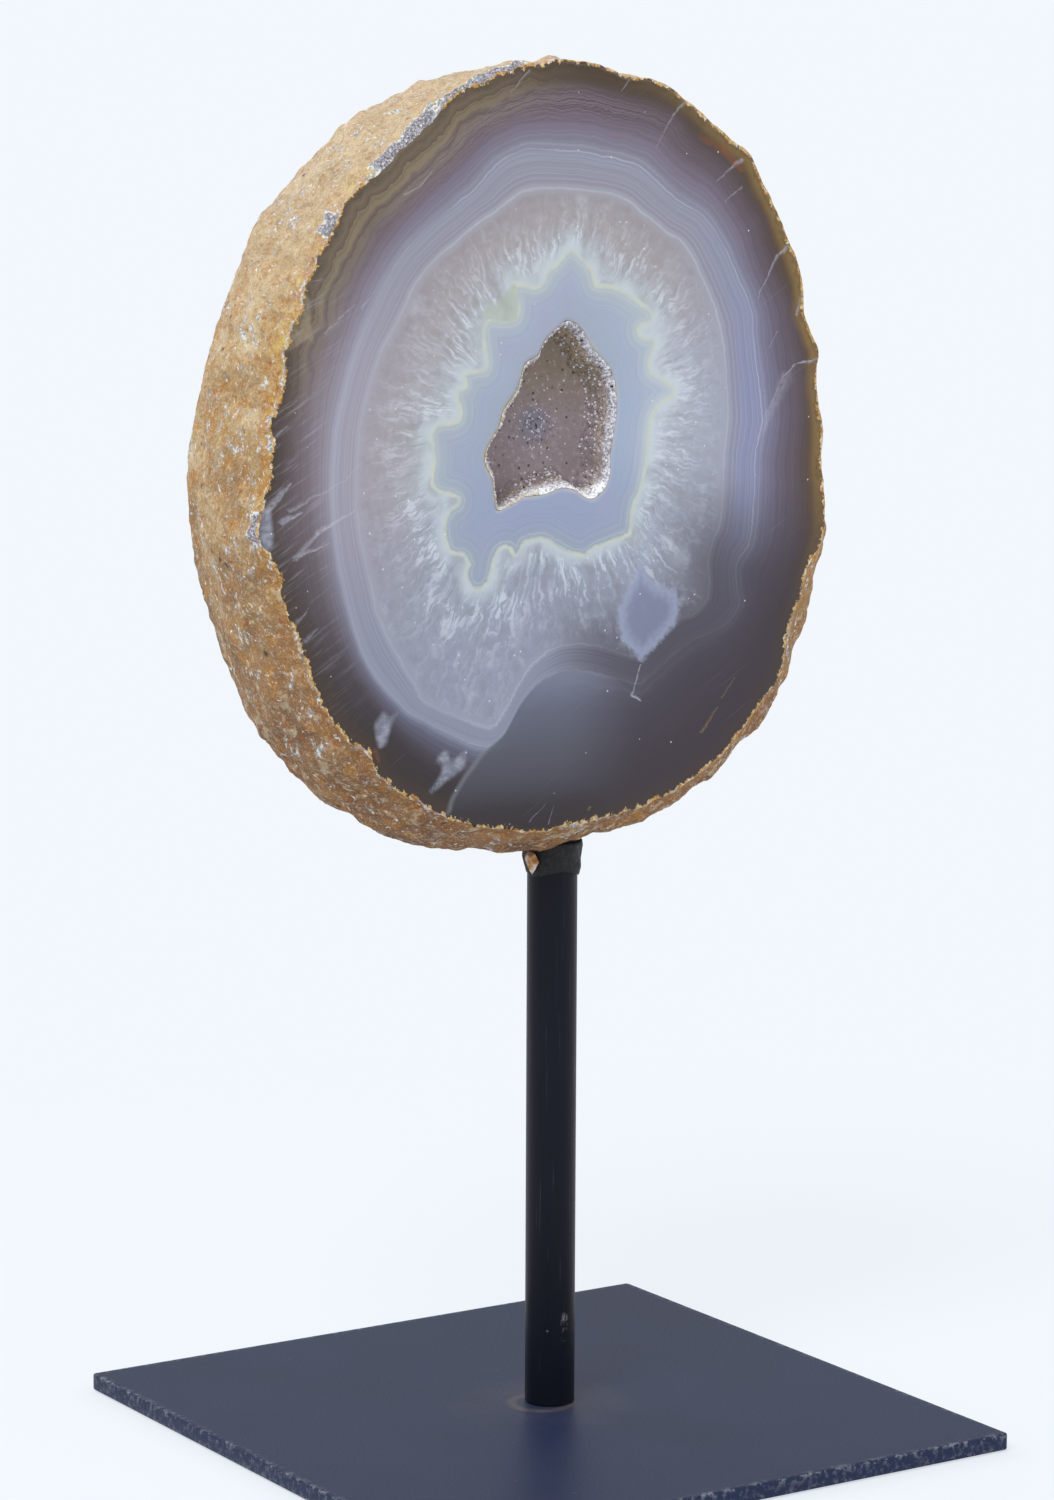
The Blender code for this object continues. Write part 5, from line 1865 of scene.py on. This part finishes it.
@dataclass
class Rod:
    """The upright rod with its worn paint."""

    sides: int = 96
    levels: int = 60
    bevel: float = 0.5
    chip_bearing: float = math.radians(-88.0)
    chip_height: float = 19.0
    chip_half: Pair = (0.7, 1.4)

    def build(self) -> bpy.types.Object:
        """Model and dress the rod.

        Returns:
            The rod.
        """
        low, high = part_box("rod")
        centre = (low + high) / 2 / MM
        radius = (high.x - low.x) / 2 / MM
        bottom, top = low.z / MM, high.z / MM
        m = MeshSketch()
        rows = [(radius, height) for height in np.linspace(bottom, top - self.bevel, self.levels)]
        rows.append((radius - self.bevel, top))
        loops = [m.add_points(level_ring(centre, *row, self.sides)) for row in rows]
        m.skin(loops)
        m.close(loops[-1], (centre.x, centre.y, top))
        m.close(loops[0], (centre.x, centre.y, bottom))
        points = m.all_points()
        around = np.arctan2(points[:, 1] - centre.y, points[:, 0] - centre.x)
        turn = (around - self.chip_bearing + math.pi) % math.tau - math.pi
        across, along = turn * radius, points[:, 2] - self.chip_height
        spot = np.hypot(across / self.chip_half[0], along / self.chip_half[1])
        wear = 1.0 - smoothstep(spot, 0.5, 1.4)
        finish = PaintFinish("rod paint", "#0b0f1b", 0.40, 0.17, 1.0, streaks=0.35)
        rod = m.make("upright_rod", (finish.make(),), {"wear": wear})
        rod.data.set_sharp_from_angle(angle=math.radians(40))
        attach(rod, Body.ROOT.value)
        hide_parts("rod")
        return rod


@dataclass
class Collar:
    """The lumpy collar of adhesive under the stone."""

    sides: int = 96
    levels: int = 16
    wall: float = 0.6
    lump: float = 0.35
    drip: float = 0.5
    gap: float = 0.15

    def build(self) -> bpy.types.Object:
        """Model and dress the collar.

        Returns:
            The collar.
        """
        low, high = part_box("adhesive_collar")
        rod_low, rod_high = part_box("rod")
        centre = (rod_low + rod_high) / 2 / MM
        inner = (rod_high.x - rod_low.x) / 2 / MM + self.gap
        bottom, top = low.z / MM + self.drip, high.z / MM
        bearing = np.arange(self.sides) * math.tau / self.sides
        m = MeshSketch()
        inside, outside = [], []
        for part in np.linspace(0.0, 1.0, self.levels):
            drip = self.drip * np.sin(3 * bearing + 0.7) * (1.0 - part)
            height = bottom + part * (top - bottom) + drip
            spoke = np.stack((np.cos(bearing), np.sin(bearing), np.zeros(self.sides)), axis=1)
            base = np.array((centre.x, centre.y, 0.0)) + spoke * inner
            base[:, 2] = height
            body = self.wall * (0.35 + 0.65 * min(part * 3.5, 1.0))
            rough = self.lump * lumps(base, 2.4, 1.0) + 0.16 * lumps(base, 0.9, 6.0)
            inside.append(m.add_points(base))
            wall = body + rough * min(part * 4 + 0.2, 1)
            outside.append(m.add_points(base + spoke * wall[:, None]))
        for k in range(self.levels - 1):
            m.bridge(outside[k], outside[k + 1])
            m.bridge(inside[k + 1], inside[k])
        m.bridge(inside[0], outside[0])
        m.bridge(outside[-1], inside[-1])
        collar = m.make("collar", (AdhesiveFinish().make(),))
        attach(collar, Body.ROOT.value)
        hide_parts("adhesive_collar")
        return collar


@dataclass
class Flake:
    """The flake of rind stuck in the collar, a CAD node with its own finish."""

    def build(self) -> bpy.types.Object:
        """Dress the flake.

        Returns:
            The flake.
        """
        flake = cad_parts["stone_flake"]
        flake.data.materials.clear()
        flake.data.materials.append(self.finish())
        return flake

    def finish(self) -> bpy.types.Material:
        """Build the flake's material.

        Returns:
            The material.
        """
        s = Sketch("flake")
        place = s.in_mm()
        patch = s.noise(place, 0.5, 4.0, 0.6)
        colour = s.ramp(patch, ((0.35, "#9a6a34"), (0.5, "#b98a55"), (0.62, "#d8d2c8")))
        s.set(Base_Color=colour, Roughness=0.7)
        s.set(Normal=s.bump(s.noise(place, 2.0, 4.0), 0.0003, 0.6))
        return s.material


@dataclass
class Studio:
    """Pale floor, soft lights and the camera."""

    floor_radius: float = 3.0
    camera_place: Triple = (-0.45795, -0.69758, 0.25241)
    right: Triple = (0.83837, -0.54508, 0.00435)
    up: Triple = (0.07572, 0.12437, 0.98934)
    backward: Triple = (-0.53982, -0.82910, 0.14555)
    lens: float = 107.88
    sensor: float = 36.0

    def floor(self) -> bpy.types.Object:
        """Make the pale floor, which fades into the background with distance.

        Returns:
            The floor.
        """
        bm = bmesh.new()
        bmesh.ops.create_circle(bm, cap_ends=True, radius=self.floor_radius, segments=96)
        mesh = bpy.data.meshes.new("floor")
        bm.to_mesh(mesh)
        bm.free()
        floor = bpy.data.objects.new("floor", mesh)
        floor.location.z = -0.0003
        bpy.context.scene.collection.objects.link(floor)
        s = Sketch("floor paper")
        s.set(Base_Color=linear(Hue.PAPER, 0.92), Roughness=0.9, Specular_IOR_Level=0.1)
        glow = s.node("ShaderNodeEmission", Hue.PAPER)
        away = s.vector("LENGTH", s.place).outputs["Value"]
        share = s.ease(away, 0.10, 0.34, 0.67, 1.0)
        blend = s.node("ShaderNodeMixShader", share, s.shader.outputs[0], glow.outputs[0])
        s.fill(s.tree.nodes["Material Output"], Surface=blend.outputs[0])
        mesh.materials.append(s.material)
        return floor

    def light(self, name: str, place: Sequence[float], aim: Sequence[float], size: float,
              power: float, colour: Sequence[float] = (1.0, 1.0, 1.0)) -> bpy.types.Object:
        """Add one square soft light that looks at a point.

        Args:
            name: The light's name.
            place: Where it hangs.
            aim: The point it looks at.
            size: Its side.
            power: Its power in watts.
            colour: Its colour.

        Returns:
            The light.
        """
        data = bpy.data.lights.new(name, "AREA")
        data.shape = "SQUARE"
        data.size = size
        data.energy = power
        data.color = colour
        lamp = bpy.data.objects.new(name, data)
        lamp.location = place
        lamp.rotation_euler = (Vector(aim) - Vector(place)).to_track_quat("-Z", "Y").to_euler()
        bpy.context.scene.collection.objects.link(lamp)
        return lamp

    def camera(self) -> bpy.types.Object:
        """Add the camera at the photograph's viewing angle.

        Returns:
            The camera.
        """
        data = bpy.data.cameras.new("camera")
        data.lens = self.lens
        data.sensor_width = self.sensor
        data.clip_start = 0.01
        camera = bpy.data.objects.new("camera", data)
        axes = Matrix((self.right, self.up, self.backward)).transposed().to_4x4()
        axes.translation = Vector(self.camera_place)
        camera.matrix_world = axes
        bpy.context.scene.collection.objects.link(camera)
        bpy.context.scene.camera = camera
        return camera

    def world(self) -> None:
        """Set an even pale surround."""
        world = bpy.data.worlds.new("surround")
        world.use_nodes = True
        nodes, links = world.node_tree.nodes, world.node_tree.links
        seen = nodes["Background"]
        seen.inputs["Color"].default_value = linear(Hue.PAPER)
        glow = nodes.new("ShaderNodeBackground")
        glow.inputs["Color"].default_value = linear("#f6f8fb")
        glow.inputs["Strength"].default_value = 0.74
        path = nodes.new("ShaderNodeLightPath")
        blend = nodes.new("ShaderNodeMixShader")
        links.new(path.outputs["Is Camera Ray"], blend.inputs[0])
        links.new(glow.outputs[0], blend.inputs[1])
        links.new(seen.outputs[0], blend.inputs[2])
        links.new(blend.outputs[0], nodes["World Output"].inputs["Surface"])
        bpy.context.scene.world = world
        bpy.context.scene.view_settings.view_transform = "Standard"
        bpy.context.scene.view_settings.look = "None"

    def build(self) -> None:
        """Set up the whole studio."""
        self.floor()
        self.world()
        self.camera()
        target = (0.0, 0.0, 0.17)
        self.light("key light", (-1.1, -0.7, 1.5), target, 0.9, 17.5)
        self.light("fill light", (1.3, -1.2, 0.8), target, 1.0, 4.0)
        self.light("back light", (-0.4, 1.4, 0.9), target, 0.9, 6.0)


def main() -> None:
    """Build the object's pieces in order and report each of them."""
    logging.basicConfig(level=logging.INFO, format="%(name)s: %(message)s")
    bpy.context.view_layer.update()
    Studio().build()
    stone = Stone()
    makers = (Plate(), Rod(), Collar(), Flake(), stone, CrystalLining(stone))
    for maker in makers:
        piece = maker.build()
        LOG.info("%s: %d faces", piece.name, len(piece.data.polygons))


if __name__ == "__main__":
    main()
